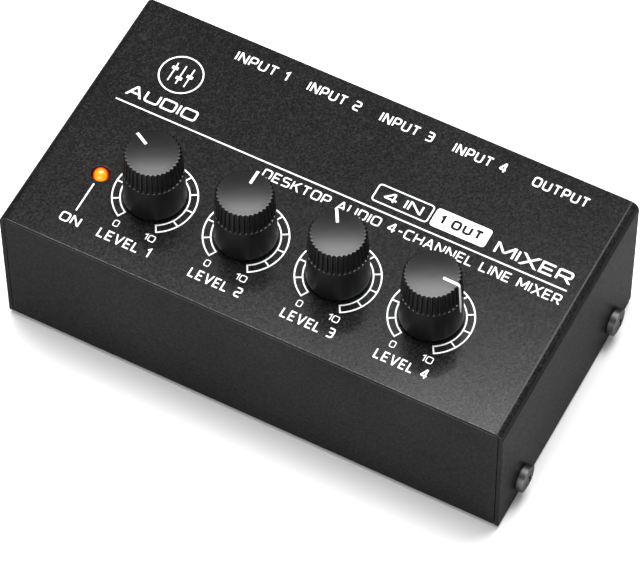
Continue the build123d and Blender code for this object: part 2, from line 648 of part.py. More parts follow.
def make_pot_housing(x, name):
    """Can with a threaded bushing that rises through the cover, and a lug inside as end stop."""
    inner_radius = CAN_RADIUS - CAN_WALL
    roof_underside = BOARD_TOP + CAN_HEIGHT - CAN_ROOF
    stop_bottom = BOARD_TOP + WIPER_LIFT - STOP_DROP
    stop_length = inner_radius + 0.1 - STOP_INNER_RADIUS
    with BuildPart() as housing:
        with BuildSketch(level_plane(x, KNOB_Y, BOARD_TOP)):
            Circle(CAN_RADIUS)
        extrude(amount=CAN_HEIGHT)
        fillet(housing.edges().group_by(Axis.Z)[-1], CAN_ROUND)
        with BuildSketch(level_plane(x, KNOB_Y, BOARD_TOP)):
            Circle(inner_radius)
        extrude(amount=CAN_HEIGHT - CAN_ROOF, mode=Mode.SUBTRACT)
        with BuildSketch(level_plane(x, KNOB_Y, BOARD_TOP + CAN_HEIGHT)):
            Circle(BUSHING_RADIUS)
        extrude(amount=CASE_TOP - BUSHING_SUNK - BOARD_TOP - CAN_HEIGHT)
        chamfer(housing.edges().group_by(Axis.Z)[-1], BUSHING_SUNK)
        with BuildSketch(level_plane(x, KNOB_Y, CASE_TOP)):
            Circle(SHAFT_RADIUS + SHAFT_FIT)
        extrude(amount=roof_underside - CASE_TOP - CAN_ROOF, mode=Mode.SUBTRACT)
        with Locations((x, KNOB_Y - STOP_INNER_RADIUS - stop_length / 2, stop_bottom)):
            Box(STOP_WIDTH, stop_length, roof_underside - stop_bottom, align=LIFT)
        with Locations((x, KNOB_Y - CAN_RADIUS, BOARD_TOP)):
            Box(*WAFER_NOTCH, align=LIFT, mode=Mode.SUBTRACT)
    save(housing, name)


def make_pot_shaft(x, angle, name):
    """6 mm shaft: spigot for the wiper, shoulder under the can's roof, flat for the knob."""
    wiper_bottom = BOARD_TOP + WIPER_LIFT
    shoulder_bottom = wiper_bottom + WIPER_THICKNESS
    shoulder_top = BOARD_TOP + CAN_HEIGHT - CAN_ROOF - SHOULDER_GAP
    spigot_bottom = wiper_bottom - SPIGOT_STICK_OUT
    with BuildPart(knob_plane(x, angle, 0)) as shaft:
        with Locations((0, 0, spigot_bottom)):
            Cylinder(SHAFT_SPIGOT_RADIUS, shoulder_bottom - spigot_bottom, align=LIFT)
        with Locations((0, 0, shoulder_bottom)):
            Cylinder(SHOULDER_RADIUS, shoulder_top - shoulder_bottom, align=LIFT)
        with Locations((0, 0, shoulder_top)):
            Cylinder(SHAFT_RADIUS, SHAFT_TOP - shoulder_top, align=LIFT)
        with Locations((SHAFT_FLAT + SHAFT_RADIUS, 0, SHAFT_FLAT_START)):
            Box(2 * SHAFT_RADIUS, 2 * SHAFT_RADIUS, SHAFT_TOP, align=LIFT, mode=Mode.SUBTRACT)
    save(shaft, name)


def make_pot_wiper(x, angle, name):
    """Moulded wiper on the shaft's spigot, with two feet over the track and a tab for the end stop."""
    with BuildPart(knob_plane(x, angle, BOARD_TOP + WIPER_LIFT)) as wiper:
        Cylinder(WIPER_RADIUS, WIPER_THICKNESS, align=LIFT)
        with Locations((TAB_REACH / 2, 0, 0)):
            Box(TAB_REACH, TAB_WIDTH, WIPER_THICKNESS, align=LIFT)
        with Locations(*WIPER_FOOT_SPOTS):
            Box(*WIPER_FOOT, align=LIFT)
        Cylinder(SHAFT_SPIGOT_RADIUS, 3 * WIPER_THICKNESS, mode=Mode.SUBTRACT)
    save(wiper, name)


def make_pot_tracks():
    """Phenolic wafers that close the cans' undersides and carry the tracks and terminals."""
    inner_radius = CAN_RADIUS - CAN_WALL
    with BuildPart() as tracks:
        for x in KNOB_X:
            with BuildSketch(level_plane(x, KNOB_Y, BOARD_TOP)):
                Circle(inner_radius)
                with Locations((0, -TERMINAL_REACH / 2 - 0.6)):
                    Rectangle(WAFER_WIDTH, TERMINAL_REACH - 0.2)
                with Locations(*[(n * TERMINAL_PITCH, -TERMINAL_REACH) for n in (-1, 0, 1)]):
                    Circle(PIN_HOLE_RADIUS, mode=Mode.SUBTRACT)
            extrude(amount=WAFER_THICKNESS)
    save(tracks, "pot_tracks")


def make_pot_terminals():
    """Riveted eyelet and pin for each end of the track and for the wiper."""
    spots = [(x + n * TERMINAL_PITCH, TERMINAL_Y) for x in KNOB_X for n in (-1, 0, 1)]
    with BuildPart() as terminals:
        with BuildSketch(Plane.XY.offset(BOARD_UNDERSIDE - LEAD_STICK_OUT)):
            with Locations(*spots):
                Circle(PIN_RADIUS)
        extrude(amount=BOARD_THICKNESS + WAFER_THICKNESS + LEAD_STICK_OUT)
        with BuildSketch(Plane.XY.offset(BOARD_TOP + WAFER_THICKNESS)):
            with Locations(*spots):
                Circle(EYELET_RADIUS)
        extrude(amount=EYELET_HEIGHT)
    save(terminals, "pot_terminals")


def pointer_bar(x, angle, rise, proud):
    """L-shaped bar along the knob's top and down its flank, narrowing towards its lower end."""
    rib_start = KNOB_BASE + KNOB_RIB_START
    foot = KNOB_BASE + POINTER_FOOT
    foot_radius = KNOB_BASE_RADIUS - (KNOB_BASE_RADIUS - KNOB_RIB_RADIUS) * POINTER_FOOT / KNOB_RIB_START
    bed = KNOB_TOP - POINTER_DEPTH
    with BuildPart() as bar:
        with BuildSketch(pointer_plane(x, angle, 0)):
            with BuildLine():
                Polyline(
                    (POINTER_START, bed),
                    (POINTER_START, KNOB_TOP + rise),
                    (KNOB_TOP_RADIUS + proud, KNOB_TOP + proud),
                    (KNOB_RIB_RADIUS + proud, rib_start),
                    (foot_radius + proud, foot),
                    (foot_radius - POINTER_DEPTH, foot),
                    (KNOB_RIB_RADIUS - POINTER_DEPTH, rib_start),
                    (KNOB_TOP_RADIUS - POINTER_DEPTH, bed),
                    close=True,
                )
            make_face()
        extrude(amount=POINTER_WIDTH / 2, both=True)
        with BuildSketch(outward_plane(x, angle, 0)):
            with BuildLine():
                Polyline(
                    (-POINTER_TIP_WIDTH / 2, foot),
                    (POINTER_TIP_WIDTH / 2, foot),
                    (POINTER_WIDTH / 2, foot + POINTER_TAPER),
                    (POINTER_WIDTH / 2, KNOB_TOP + POINTER_TAPER),
                    (-POINTER_WIDTH / 2, KNOB_TOP + POINTER_TAPER),
                    (-POINTER_WIDTH / 2, foot + POINTER_TAPER),
                    close=True,
                )
            make_face()
        extrude(amount=2 * KNOB_BASE_RADIUS, mode=Mode.INTERSECT)
    return bar.part


def make_knob(x, angle, name):
    """Tapered knob with flutes round its upper part, a blind D bore and a slot for the pointer."""
    flute_rise = KNOB_HEIGHT - KNOB_RIB_START
    flute_lean = degrees(atan2(KNOB_RIB_RADIUS - KNOB_TOP_RADIUS, flute_rise))
    flute_count = int(FULL_TURN / FLUTE_STEP) - 1
    flute_span = flute_count * FLUTE_STEP
    slot = pointer_bar(x, angle, POINTER_DEPTH, POINTER_DEPTH)
    face_radius = KNOB_TOP_RADIUS - KNOB_EDGE_ROUND
    edge_slack = KNOB_EDGE_ROUND * (1 - cos(radians(45)))
    first_flute = FULL_TURN / 4 - angle + FLUTE_STEP
    with BuildPart() as knob:
        with BuildSketch(pointer_plane(x, angle, 0)):
            with BuildLine():
                Polyline(
                    (CROWN_FLAT_RADIUS, KNOB_TOP + KNOB_CROWN),
                    (0, KNOB_TOP + KNOB_CROWN),
                    (0, KNOB_BASE + KNOB_RECESS_DEPTH),
                    (KNOB_RECESS_RADIUS, KNOB_BASE + KNOB_RECESS_DEPTH),
                    (KNOB_RECESS_RADIUS, KNOB_BASE),
                    (KNOB_BASE_RADIUS, KNOB_BASE),
                    (KNOB_RIB_RADIUS, KNOB_BASE + KNOB_RIB_START),
                    (KNOB_TOP_RADIUS, KNOB_TOP - KNOB_EDGE_ROUND),
                )
                ThreePointArc(
                    (KNOB_TOP_RADIUS, KNOB_TOP - KNOB_EDGE_ROUND),
                    (KNOB_TOP_RADIUS - edge_slack, KNOB_TOP - edge_slack),
                    (face_radius, KNOB_TOP),
                )
                ThreePointArc(
                    (face_radius, KNOB_TOP),
                    (face_radius / 2, KNOB_TOP + CROWN_MIDWAY * KNOB_CROWN),
                    (CROWN_FLAT_RADIUS, KNOB_TOP + KNOB_CROWN),
                )
            make_face()
        revolve(axis=Axis((x, KNOB_Y, 0), (0, 0, 1)))
        with Locations((x, KNOB_Y, KNOB_BASE + KNOB_RIB_START)):
            with PolarLocations(KNOB_RIB_RADIUS - FLUTE_INSET, flute_count, first_flute, flute_span):
                Cylinder(
                    FLUTE_RADIUS,
                    2 * flute_rise,
                    rotation=(0, -flute_lean, 0),
                    align=LIFT,
                    mode=Mode.SUBTRACT,
                )
        with BuildSketch(knob_plane(x, angle, SHAFT_FLAT_START)):
            Circle(SHAFT_RADIUS)
            with Locations((SHAFT_FLAT + SHAFT_RADIUS, 0)):
                Rectangle(2 * SHAFT_RADIUS, 2 * SHAFT_RADIUS, mode=Mode.SUBTRACT)
        extrude(amount=SHAFT_TOP - SHAFT_FLAT_START, mode=Mode.SUBTRACT)
        add(slot, mode=Mode.SUBTRACT)
    save(knob, name)


def make_pointer(x, angle, name):
    """White bar set into the knob's slot, proud of it and rounded where it turns down the flank."""
    with BuildPart() as pointer:
        add(pointer_bar(x, angle, POINTER_RISE, POINTER_PROUD))
        corner = (KNOB_TOP_RADIUS + POINTER_PROUD, KNOB_TOP + POINTER_PROUD, 0)
        spot = pointer_plane(x, angle, 0).from_local_coords(corner)
        fillet(pointer.edges().sort_by_distance(spot)[0], POINTER_CORNER)
    save(pointer, name)


def make_power_light():
    """Round LED standing on its spacer, with its dome through the cover."""
    barrel_bottom = LED_BASE + LED_FLANGE_HEIGHT
    lead_bottom = BOARD_UNDERSIDE - LEAD_STICK_OUT
    with BuildPart() as lens:
        with BuildSketch(side_plane(LED_X, 0, 0)):
            with BuildLine():
                Polyline(
                    (LED_Y, barrel_bottom + LED_BARREL + LED_RADIUS),
                    (LED_Y, LED_BASE),
                    (LED_Y + LED_FLANGE_RADIUS, LED_BASE),
                    (LED_Y + LED_FLANGE_RADIUS, barrel_bottom),
                    (LED_Y + LED_RADIUS, barrel_bottom),
                    (LED_Y + LED_RADIUS, barrel_bottom + LED_BARREL),
                )
                RadiusArc(
                    (LED_Y + LED_RADIUS, barrel_bottom + LED_BARREL),
                    (LED_Y, barrel_bottom + LED_BARREL + LED_RADIUS),
                    -LED_RADIUS,
                )
            make_face()
        revolve(axis=Axis((LED_X, LED_Y, 0), (0, 0, 1)))
    save(lens, "led_lens")

    with BuildPart() as spacer:
        with BuildSketch(level_plane(LED_X, LED_Y, BOARD_TOP)):
            Circle(LED_FLANGE_RADIUS)
            Rectangle(2 * LEAD_PITCH + LEAD_SIZE, LEAD_SIZE, mode=Mode.SUBTRACT)
        extrude(amount=LED_BASE - BOARD_TOP)
    save(spacer, "led_spacer")

    with BuildPart() as leads:
        for side in (-1, 1):
            with Locations((LED_X + side * LEAD_PITCH, LED_Y, lead_bottom)):
                Box(LEAD_SIZE, LEAD_SIZE, LED_BASE - lead_bottom, align=LIFT)
    save(leads, "led_leads")


def make_opamps():
    """Three dual op-amps between the input sockets, and their legs."""
    chip_x = [x + SOCKET_PITCH / 2 for x in INPUT_SOCKET_X[:3]]
    width, length, height = CHIP_BODY
    mark_radius, mark_depth = CHIP_MARK
    with BuildPart() as chips:
        for x in chip_x:
            with Locations((x, CHIP_Y, BOARD_TOP + CHIP_LIFT)):
                Box(width, length, height, align=LIFT)
            with Locations((x, CHIP_Y + length / 2, BOARD_TOP + CHIP_LIFT + height - mark_depth)):
                Cylinder(mark_radius, 2 * mark_depth, align=LIFT, mode=Mode.SUBTRACT)
    save(chips, "opamp_chips")

    leg_reach = (CHIP_LEG_SPAN - width) / 2
    foot_x = (CHIP_LEG_SPAN - CHIP_LEG_FOOT[0]) / 2
    with BuildPart() as legs:
        for x in chip_x:
            for side in (-1, 1):
                for n in range(4):
                    y = CHIP_Y + (n - 1.5) * CHIP_LEG_PITCH
                    with Locations((x + side * (width + leg_reach) / 2, y, BOARD_TOP + CHIP_LEG_ARM_RISE)):
                        Box(leg_reach, *CHIP_LEG_ARM, align=LIFT)
                    with Locations((x + side * foot_x, y, BOARD_TOP)):
                        Box(*CHIP_LEG_FOOT, align=LIFT)
    save(legs, "opamp_legs")


def make_capacitors():
    """Round electrolytic cans, the two larger supply capacitors and the film capacitors."""
    radius, height = SMALL_CAPACITOR
    with BuildPart() as small:
        for x in SOCKET_X:
            for side in (-1, 1):
                with BuildSketch(level_plane(x + side * SMALL_CAPACITOR_OFFSET, SMALL_CAPACITOR_Y, BOARD_TOP)):
                    Circle(radius)
                extrude(amount=height)
        fillet(small.edges().group_by(Axis.Z)[-1], SMALL_CAPACITOR_ROUND)
    save(small, "electrolytic_capacitors")

    radius, height = SUPPLY_CAPACITOR
    with BuildPart() as supply:
        for y in SUPPLY_CAPACITOR_Y:
            with BuildSketch(level_plane(INLET_X, y, BOARD_TOP)):
                Circle(radius)
            extrude(amount=height)
        fillet(supply.edges().group_by(Axis.Z)[-1], SUPPLY_CAPACITOR_ROUND)
    save(supply, "supply_capacitors")

    width, length, height = FILM_BODY
    with BuildPart() as film:
        for x in SOCKET_X:
            for side in (-1, 1):
                with Locations((x + side * FILM_OFFSET, FILM_Y, BOARD_TOP)):
                    Box(width, length, height, align=LIFT)
        fillet(film.edges().group_by(Axis.Z)[-1], FILM_ROUND)
    save(film, "film_capacitors")


def axial_barrel(x, y, body, along):
    """Barrel of a resistor or diode lying on the board."""
    radius, length = body
    middle = Vector(x, y, BOARD_TOP + radius)
    with BuildPart() as barrel:
        with BuildSketch(Plane(origin=middle - along * (length / 2), z_dir=along)):
            Circle(radius)
        extrude(amount=length)
    return barrel.part


def axial_lead(x, y, body, along):
    """Wire that leaves one end of a barrel, on the side that along points to, and bends down."""
    radius, length = body
    start = Vector(x, y, BOARD_TOP + radius) + along * (length / 2)
    run = (RESISTOR_LEAD_SPAN - length) / 2
    bend = start + along * run
    with BuildPart() as lead:
        with BuildSketch(Plane(origin=start, z_dir=along)):
            Circle(RESISTOR_LEAD_RADIUS)
        extrude(amount=run + RESISTOR_LEAD_RADIUS)
        with BuildSketch(level_plane(bend.X, bend.Y, BOARD_TOP)):
            Circle(RESISTOR_LEAD_RADIUS)
        extrude(amount=radius)
    return lead.part


def make_resistors_and_diodes():
    """Resistors in a front row and beside each socket, and two supply diodes."""
    across = Vector(1, 0, 0)
    back = Vector(0, 1, 0)
    resistors_laid = [(x, FRONT_RESISTOR_Y, RESISTOR_BODY, across) for x in FRONT_RESISTOR_X]
    for x in SOCKET_X:
        for offset in (-REAR_RESISTOR_OFFSET, REAR_RESISTOR_OFFSET):
            resistors_laid.append((x + offset, REAR_RESISTOR_Y, RESISTOR_BODY, back))
    diodes_laid = [(x, y, DIODE_BODY, back) for x, y in DIODE_SPOTS]
    resistor_barrels = [axial_barrel(*laid) for laid in resistors_laid]
    diode_barrels = [axial_barrel(*laid) for laid in diodes_laid]
    wires = []
    for x, y, body, along in resistors_laid + diodes_laid:
        wires += [axial_lead(x, y, body, along * way) for way in (-1, 1)]
    with BuildPart() as resistors:
        add(resistor_barrels)
    save(resistors, "resistors")
    with BuildPart() as diodes:
        add(diode_barrels)
    save(diodes, "diodes")
    with BuildPart() as leads:
        add(wires)
    save(leads, "component_leads")


def make_regulator():
    """Three-legged regulator with a flat front."""
    with BuildPart() as regulator:
        with BuildSketch(level_plane(REGULATOR_X, SUPPLY_PARTS_Y, BOARD_TOP + REGULATOR_LIFT)):
            Circle(REGULATOR_RADIUS)
            with Locations((0, -2 * REGULATOR_RADIUS)):
                Rectangle(REGULATOR_FLAT, REGULATOR_FLAT, mode=Mode.SUBTRACT)
        extrude(amount=REGULATOR_HEIGHT)
        for n in (-1, 0, 1):
            with Locations((REGULATOR_X + n * LEAD_PITCH, SUPPLY_PARTS_Y, BOARD_TOP)):
                Box(REGULATOR_LEG_SIZE, REGULATOR_LEG_SIZE, REGULATOR_LIFT, align=LIFT)
    save(regulator, "voltage_regulator")


def main():
    os.makedirs("parts", exist_ok=True)
    make_top_cover()
    make_chassis()
    make_cover_screws()
    make_rubber_feet()
    make_circuit_board()
    make_board_standoffs()
    make_board_screws()
    for number, x in enumerate(INPUT_SOCKET_X, start=1):
        make_socket(x, f"input_jack_{number}")
    make_socket(OUTPUT_SOCKET_X, "output_jack")
    make_socket_washers()
    make_socket_nuts()
    make_tip_contacts()
    make_switch_contacts()
    make_sleeve_contacts()
    make_dc_jack()
    for number, (x, angle) in enumerate(zip(KNOB_X, KNOB_ANGLES), start=1):
        make_pot_housing(x, f"pot_housing_{number}")
        make_pot_shaft(x, angle, f"pot_shaft_{number}")
        make_pot_wiper(x, angle, f"pot_wiper_{number}")
        make_knob(x, angle, f"knob_{number}")
        make_pointer(x, angle, f"pointer_{number}")
    make_pot_tracks()
    make_pot_terminals()
    make_power_light()
    make_opamps()
    make_capacitors()
    make_resistors_and_diodes()
    make_regulator()


main()
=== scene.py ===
import json
from math import atan2, cos, hypot, pi, radians, sin, sqrt

import bmesh
import bpy
from mathutils import Matrix, Vector


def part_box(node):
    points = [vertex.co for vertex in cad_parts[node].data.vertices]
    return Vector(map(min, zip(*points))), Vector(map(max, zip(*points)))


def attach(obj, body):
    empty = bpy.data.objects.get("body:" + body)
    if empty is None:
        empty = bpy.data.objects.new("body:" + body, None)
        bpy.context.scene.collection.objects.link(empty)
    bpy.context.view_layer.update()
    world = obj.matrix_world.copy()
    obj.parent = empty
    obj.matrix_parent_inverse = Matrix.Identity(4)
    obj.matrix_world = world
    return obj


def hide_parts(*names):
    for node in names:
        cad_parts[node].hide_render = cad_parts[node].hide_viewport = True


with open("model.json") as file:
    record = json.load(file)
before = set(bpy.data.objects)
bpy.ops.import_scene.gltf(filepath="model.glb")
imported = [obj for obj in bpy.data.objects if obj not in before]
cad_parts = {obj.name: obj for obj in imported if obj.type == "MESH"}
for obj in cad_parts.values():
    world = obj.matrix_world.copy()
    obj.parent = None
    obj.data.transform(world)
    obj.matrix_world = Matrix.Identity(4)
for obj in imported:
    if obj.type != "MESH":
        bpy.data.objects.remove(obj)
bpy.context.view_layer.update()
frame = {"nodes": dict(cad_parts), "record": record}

# Looks of the four-channel line mixer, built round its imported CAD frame.
# Metres throughout, +Z up, front wall towards -Y. Lengths written in millimetres are multiplied by MM.

MM = 0.001
CASE_LOW, CASE_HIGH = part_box("top_cover")
PANEL_Z = CASE_HIGH.z
MIDDLE_Y = (CASE_LOW.y + CASE_HIGH.y) / 2
KNOB_NUMBERS = (1, 2, 3, 4)
CASE = "case"
MOUNTS = {mount["name"]: mount for mount in frame["record"]["mounts"]}
JOINTS = {joint["name"]: joint for joint in frame["record"]["behaviour"]["joints"]}
SLOTS = {part["node"]: part["material_slot"] for part in frame["record"]["subparts"]}


# ---------------------------------------------------------------- materials


class Finish:
    """A Principled material with short ways to add nodes to it."""

    def __init__(self, name, **values):
        self.material = bpy.data.materials.new(name)
        self.material.use_nodes = True
        self.tree = self.material.node_tree
        self.shader = self.tree.nodes["Principled BSDF"]
        self.place = self.node("ShaderNodeTexCoord").outputs["Object"]
        for socket, value in values.items():
            self.shader.inputs[socket.replace("_", " ")].default_value = value

    def node(self, kind, **settings):
        made = self.tree.nodes.new(kind)
        for key, value in settings.items():
            setattr(made, key, value)
        return made

    def join(self, output, node, socket):
        self.tree.links.new(output, node.inputs[socket])

    def noise(self, grain, detail=2.0, place=None):
        """Noise whose lumps are about grain metres across."""
        made = self.node("ShaderNodeTexNoise")
        made.inputs["Scale"].default_value = 1 / grain
        made.inputs["Detail"].default_value = detail
        self.join(place or self.place, made, "Vector")
        return made.outputs["Fac"]

    def flecks(self, size):
        """A random level for every cell of about that size."""
        made = self.node("ShaderNodeTexVoronoi")
        made.inputs["Scale"].default_value = 1 / size
        self.join(self.place, made, "Vector")
        return made.outputs["Color"]

    def stretched(self, x, y, z):
        """Object coordinates scaled along each axis, for brushed or drawn grain."""
        made = self.node("ShaderNodeMapping")
        made.inputs["Scale"].default_value = (x, y, z)
        self.join(self.place, made, "Vector")
        return made.outputs["Vector"]

    def ramp(self, factor, *stops):
        """Colours along a factor; a stop is (position, colour) or (position, grey)."""
        made = self.node("ShaderNodeValToRGB")
        band = made.color_ramp
        while len(band.elements) < len(stops):
            band.elements.new(0.5)
        for element, (position, colour) in zip(band.elements, stops):
            element.position = position
            grey = (colour, colour, colour) if isinstance(colour, float) else colour
            element.color = (*grey, 1)
        self.join(factor, made, "Fac")
        return made.outputs["Color"]

    def span(self, factor, low, high):
        """Map a 0..1 factor on to low..high."""
        made = self.node("ShaderNodeMapRange")
        made.inputs["To Min"].default_value = low
        made.inputs["To Max"].default_value = high
        self.join(factor, made, "Value")
        return made.outputs["Result"]

    def facing(self, way, *stops):
        """Grey levels along the lean of the surface towards a direction, 1 when it faces that way."""
        lean = self.node("ShaderNodeVectorMath", operation="DOT_PRODUCT")
        self.join(self.node("ShaderNodeNewGeometry").outputs["Normal"], lean, 0)
        lean.inputs[1].default_value = Vector(way).normalized()
        return self.ramp(lean.outputs["Value"], *stops)

    def facing_up(self, *stops):
        """Grey levels along the upward lean of the surface, 0 for a wall and 1 for a top face."""
        return self.facing((0, 0, 1), *stops)

    def times(self, colour, factor):
        """One colour darkened or brightened by another."""
        made = self.node("ShaderNodeMix", data_type="RGBA", blend_type="MULTIPLY")
        made.inputs["Factor"].default_value = 1.0
        self.join(colour, made, "A")
        self.join(factor, made, "B")
        return made.outputs["Result"]

    def set(self, socket, output):
        self.join(output, self.shader, socket)

    def bump(self, height, depth, strength=None):
        """Relief whose height runs over depth metres."""
        made = self.node("ShaderNodeBump")
        made.inputs["Strength"].default_value = 1.0
        made.inputs["Distance"].default_value = depth
        self.join(height, made, "Height")
        if strength is not None:
            self.join(strength, made, "Strength")
        self.set("Normal", made.outputs["Normal"])


# Stops along the direction that the coat's surface faces. They copy the photo's light into the finish: the
# front fold is paler, and the side fold darker along its edges, than the flat faces, whose factor is 1.
COAT_GRAIN_STOPS = ((0.4, 0.3), (0.9, 1.0))
COAT_GLOSS_STOPS = ((0.4, 0.42), (0.9, 0.155))
FRONT_FOLD = (0, -1, 1)
FRONT_FOLD_HIGHLIGHT_STOPS = ((0.76, 1.0), (0.86, 3.4), (1.0, 3.4))
SIDE_FOLD = (1, 0, 1)
SIDE_FOLD_SHADE_AND_HIGHLIGHT_STOPS = ((0.7085, 1.0), (0.717, 0.5), (0.84, 0.5), (0.92, 1.1))
WALL_FLECK_LEVEL = 0.72


def powder_coat(name):
    """Fine-grained black powder coat with paler flecks, mostly seen on upward faces, and painted light: a
    painted highlight on the front fold and painted shade along the side fold.
    """
    coat = Finish(name, Specular_Tint=(0.07, 0.07, 0.07, 1), Specular_IOR_Level=0.06)
    spread = coat.node("ShaderNodeMix", data_type="FLOAT")
    spread.inputs["A"].default_value = WALL_FLECK_LEVEL
    coat.join(coat.facing_up(*COAT_GRAIN_STOPS), spread, "Factor")
    coat.join(coat.flecks(0.36 * MM), spread, "B")
    fleck = spread.outputs["Result"]
    grit = coat.noise(0.3 * MM, 1.0)
    cloud = coat.noise(22 * MM, 2.0)
    dark = coat.ramp(fleck, (0.2, 0.02), (0.6, 0.025), (0.85, 0.032))
    clouded = coat.times(dark, coat.ramp(cloud, (0.3, 0.9), (0.7, 1.1)))
    # Painted highlight: the front fold's base colour is made up to 3.4 times paler. Painted shade: the
    # side fold's base colour is halved along its edges, with a faint painted highlight in its middle.
    front_highlight_painted = coat.times(clouded, coat.facing(FRONT_FOLD, *FRONT_FOLD_HIGHLIGHT_STOPS))
    fold_light_painted = coat.times(front_highlight_painted, coat.facing(SIDE_FOLD, *SIDE_FOLD_SHADE_AND_HIGHLIGHT_STOPS))
    coat.set("Base Color", fold_light_painted)
    coat.set("Metallic", coat.ramp(fleck, (0.2, 0.77), (0.58, 0.69), (0.88, 0.5)))
    coat.set("Roughness", coat.facing_up(*COAT_GLOSS_STOPS))
    coat.bump(grit, 0.005 * MM, coat.facing_up(*COAT_GRAIN_STOPS))
    return coat.material


def moulded(name, colour, roughness=0.4, grain=0.12, depth=0.004, variation=0.12):
    """Injection-moulded plastic: even colour with slight clouding and a fine spark-eroded grain."""
    plastic = Finish(name, IOR=1.5)
    cloud = plastic.noise(6 * MM, 3.0)
    fine = plastic.noise(grain * MM, 2.0)
    low = tuple(channel * (1 - variation) for channel in colour)
    high = tuple(min(1.0, channel * (1 + variation)) for channel in colour)
    plastic.set("Base Color", plastic.ramp(cloud, (0.3, low), (0.7, high)))
    plastic.set("Roughness", plastic.span(fine, roughness - 0.05, roughness + 0.08))
    plastic.bump(fine, depth * MM)
    return plastic.material


def knob_plastic(name):
    """Black moulding, polished on its upward faces and duller down its flanks."""
    plastic = Finish(name, IOR=1.5)
    cloud = plastic.noise(6 * MM, 3.0)
    fine = plastic.noise(0.14 * MM, 2.0)
    plastic.set("Base Color", plastic.ramp(cloud, (0.3, 0.004), (0.7, 0.0052)))
    plastic.set("Specular IOR Level", plastic.facing_up((0.5, 0.17), (0.9, 0.27)))
    dull = plastic.facing_up((0.5, 0.4), (0.95, 0.2))
    spread = plastic.node("ShaderNodeMath", operation="MULTIPLY_ADD")
    spread.inputs[1].default_value = 0.06
    plastic.join(fine, spread, 0)
    plastic.join(dull, spread, 2)
    plastic.set("Roughness", spread.outputs["Value"])
    plastic.bump(fine, 0.002 * MM)
    return plastic.material


def metal(name, colour, roughness=0.28, draw=(1.0, 1.0, 1.0), grain=0.25, depth=0.003, edge=1.0):
    """Plated or turned metal, its grain drawn out along the axes with small scale factors."""
    plate = Finish(name, Metallic=1.0, Specular_Tint=(edge, edge, edge, 1))
    grain_place = plate.stretched(*draw)
    fine = plate.noise(grain * MM, 3.0, grain_place)
    cloud = plate.noise(4 * MM, 3.0)
    low = tuple(channel * 0.82 for channel in colour)
    plate.set("Base Color", plate.ramp(cloud, (0.3, low), (0.65, colour)))
    plate.set("Roughness", plate.span(fine, roughness - 0.08, roughness + 0.14))
    plate.bump(fine, depth * MM)
    return plate.material


def printed_ink(name, colour):
    """Screen-printed ink: slightly mottled, with a soft sheen."""
    ink = Finish(name)
    mottle = ink.noise(0.45 * MM, 3.0)
    low = tuple(channel * 0.9 for channel in colour)
    ink.set("Base Color", ink.ramp(mottle, (0.35, low), (0.6, colour)))
    ink.set("Roughness", ink.span(mottle, 0.42, 0.6))
    ink.bump(mottle, 0.006 * MM)
    return ink.material


def rubber(name):
    """Matt black rubber with a mineral bloom."""
    pad = Finish(name, Sheen_Weight=0.15, Sheen_Roughness=0.5)
    bloom = pad.noise(1.8 * MM, 4.0)
    pad.set("Base Color", pad.ramp(bloom, (0.3, 0.012), (0.75, 0.03)))
    pad.set("Roughness", pad.span(bloom, 0.7, 0.88))
    pad.bump(pad.noise(0.2 * MM), 0.02 * MM)
    return pad.material


def board_laminate(name):
    """Green solder resist over copper, with the glass weave showing through."""
    board = Finish(name, IOR=1.55)
    weave = board.node("ShaderNodeTexChecker")
    weave.inputs["Scale"].default_value = 1 / (1.2 * MM)
    board.join(board.place, weave, "Vector")
    tracks = board.noise(2.4 * MM, 0.0, board.stretched(1.0, 0.35, 1.0))
    copper = board.ramp(tracks, (0.47, (0.012, 0.085, 0.035)), (0.52, (0.03, 0.17, 0.065)))
    board.set("Base Color", copper)
    board.set("Roughness", board.span(weave.outputs["Fac"], 0.3, 0.36))
    board.bump(tracks, 0.03 * MM)
    return board.material


LENS_RADIUS = 1.9
GLOW_OFFSET = (0.3, -0.62)


def lit_lens(name):
    """Red lens, lit from inside: an orange core set off towards the front right, and a dark red rim."""
    low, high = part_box("led_lens")
    lens = Finish(name, Roughness=0.2, IOR=1.54, Emission_Strength=1.25)
    middle = (
        (low.x + high.x) / 2 + GLOW_OFFSET[0] * MM,
        (low.y + high.y) / 2 + GLOW_OFFSET[1] * MM,
        0,
    )
    flat = lens.node("ShaderNodeVectorMath", operation="MULTIPLY_ADD")
    flat.inputs[1].default_value = (1, 1, 0)
    flat.inputs[2].default_value = tuple(-value for value in middle)
    lens.join(lens.place, flat, 0)
    radius = lens.node("ShaderNodeVectorMath", operation="LENGTH")
    lens.join(flat.outputs["Vector"], radius, 0)
    reach = lens.node("ShaderNodeMath", operation="MULTIPLY")
    reach.inputs[1].default_value = 1 / (LENS_RADIUS * MM)
    lens.join(radius.outputs["Value"], reach, 0)
    glow = lens.ramp(
        reach.outputs["Value"],
        (0.0, (1.0, 0.5, 0.0)),
        (0.62, (1.0, 0.36, 0.0)),
        (0.76, (0.8, 0.05, 0.0)),
        (0.88, (0.12, 0.002, 0.0)),
        (1.0, (0.02, 0.0, 0.0)),
    )
    lens.set("Emission Color", glow)
    red = lens.ramp(lens.noise(0.8 * MM), (0.3, (0.16, 0.006, 0.002)), (0.7, (0.22, 0.01, 0.002)))
    lens.set("Base Color", red)
    return lens.material


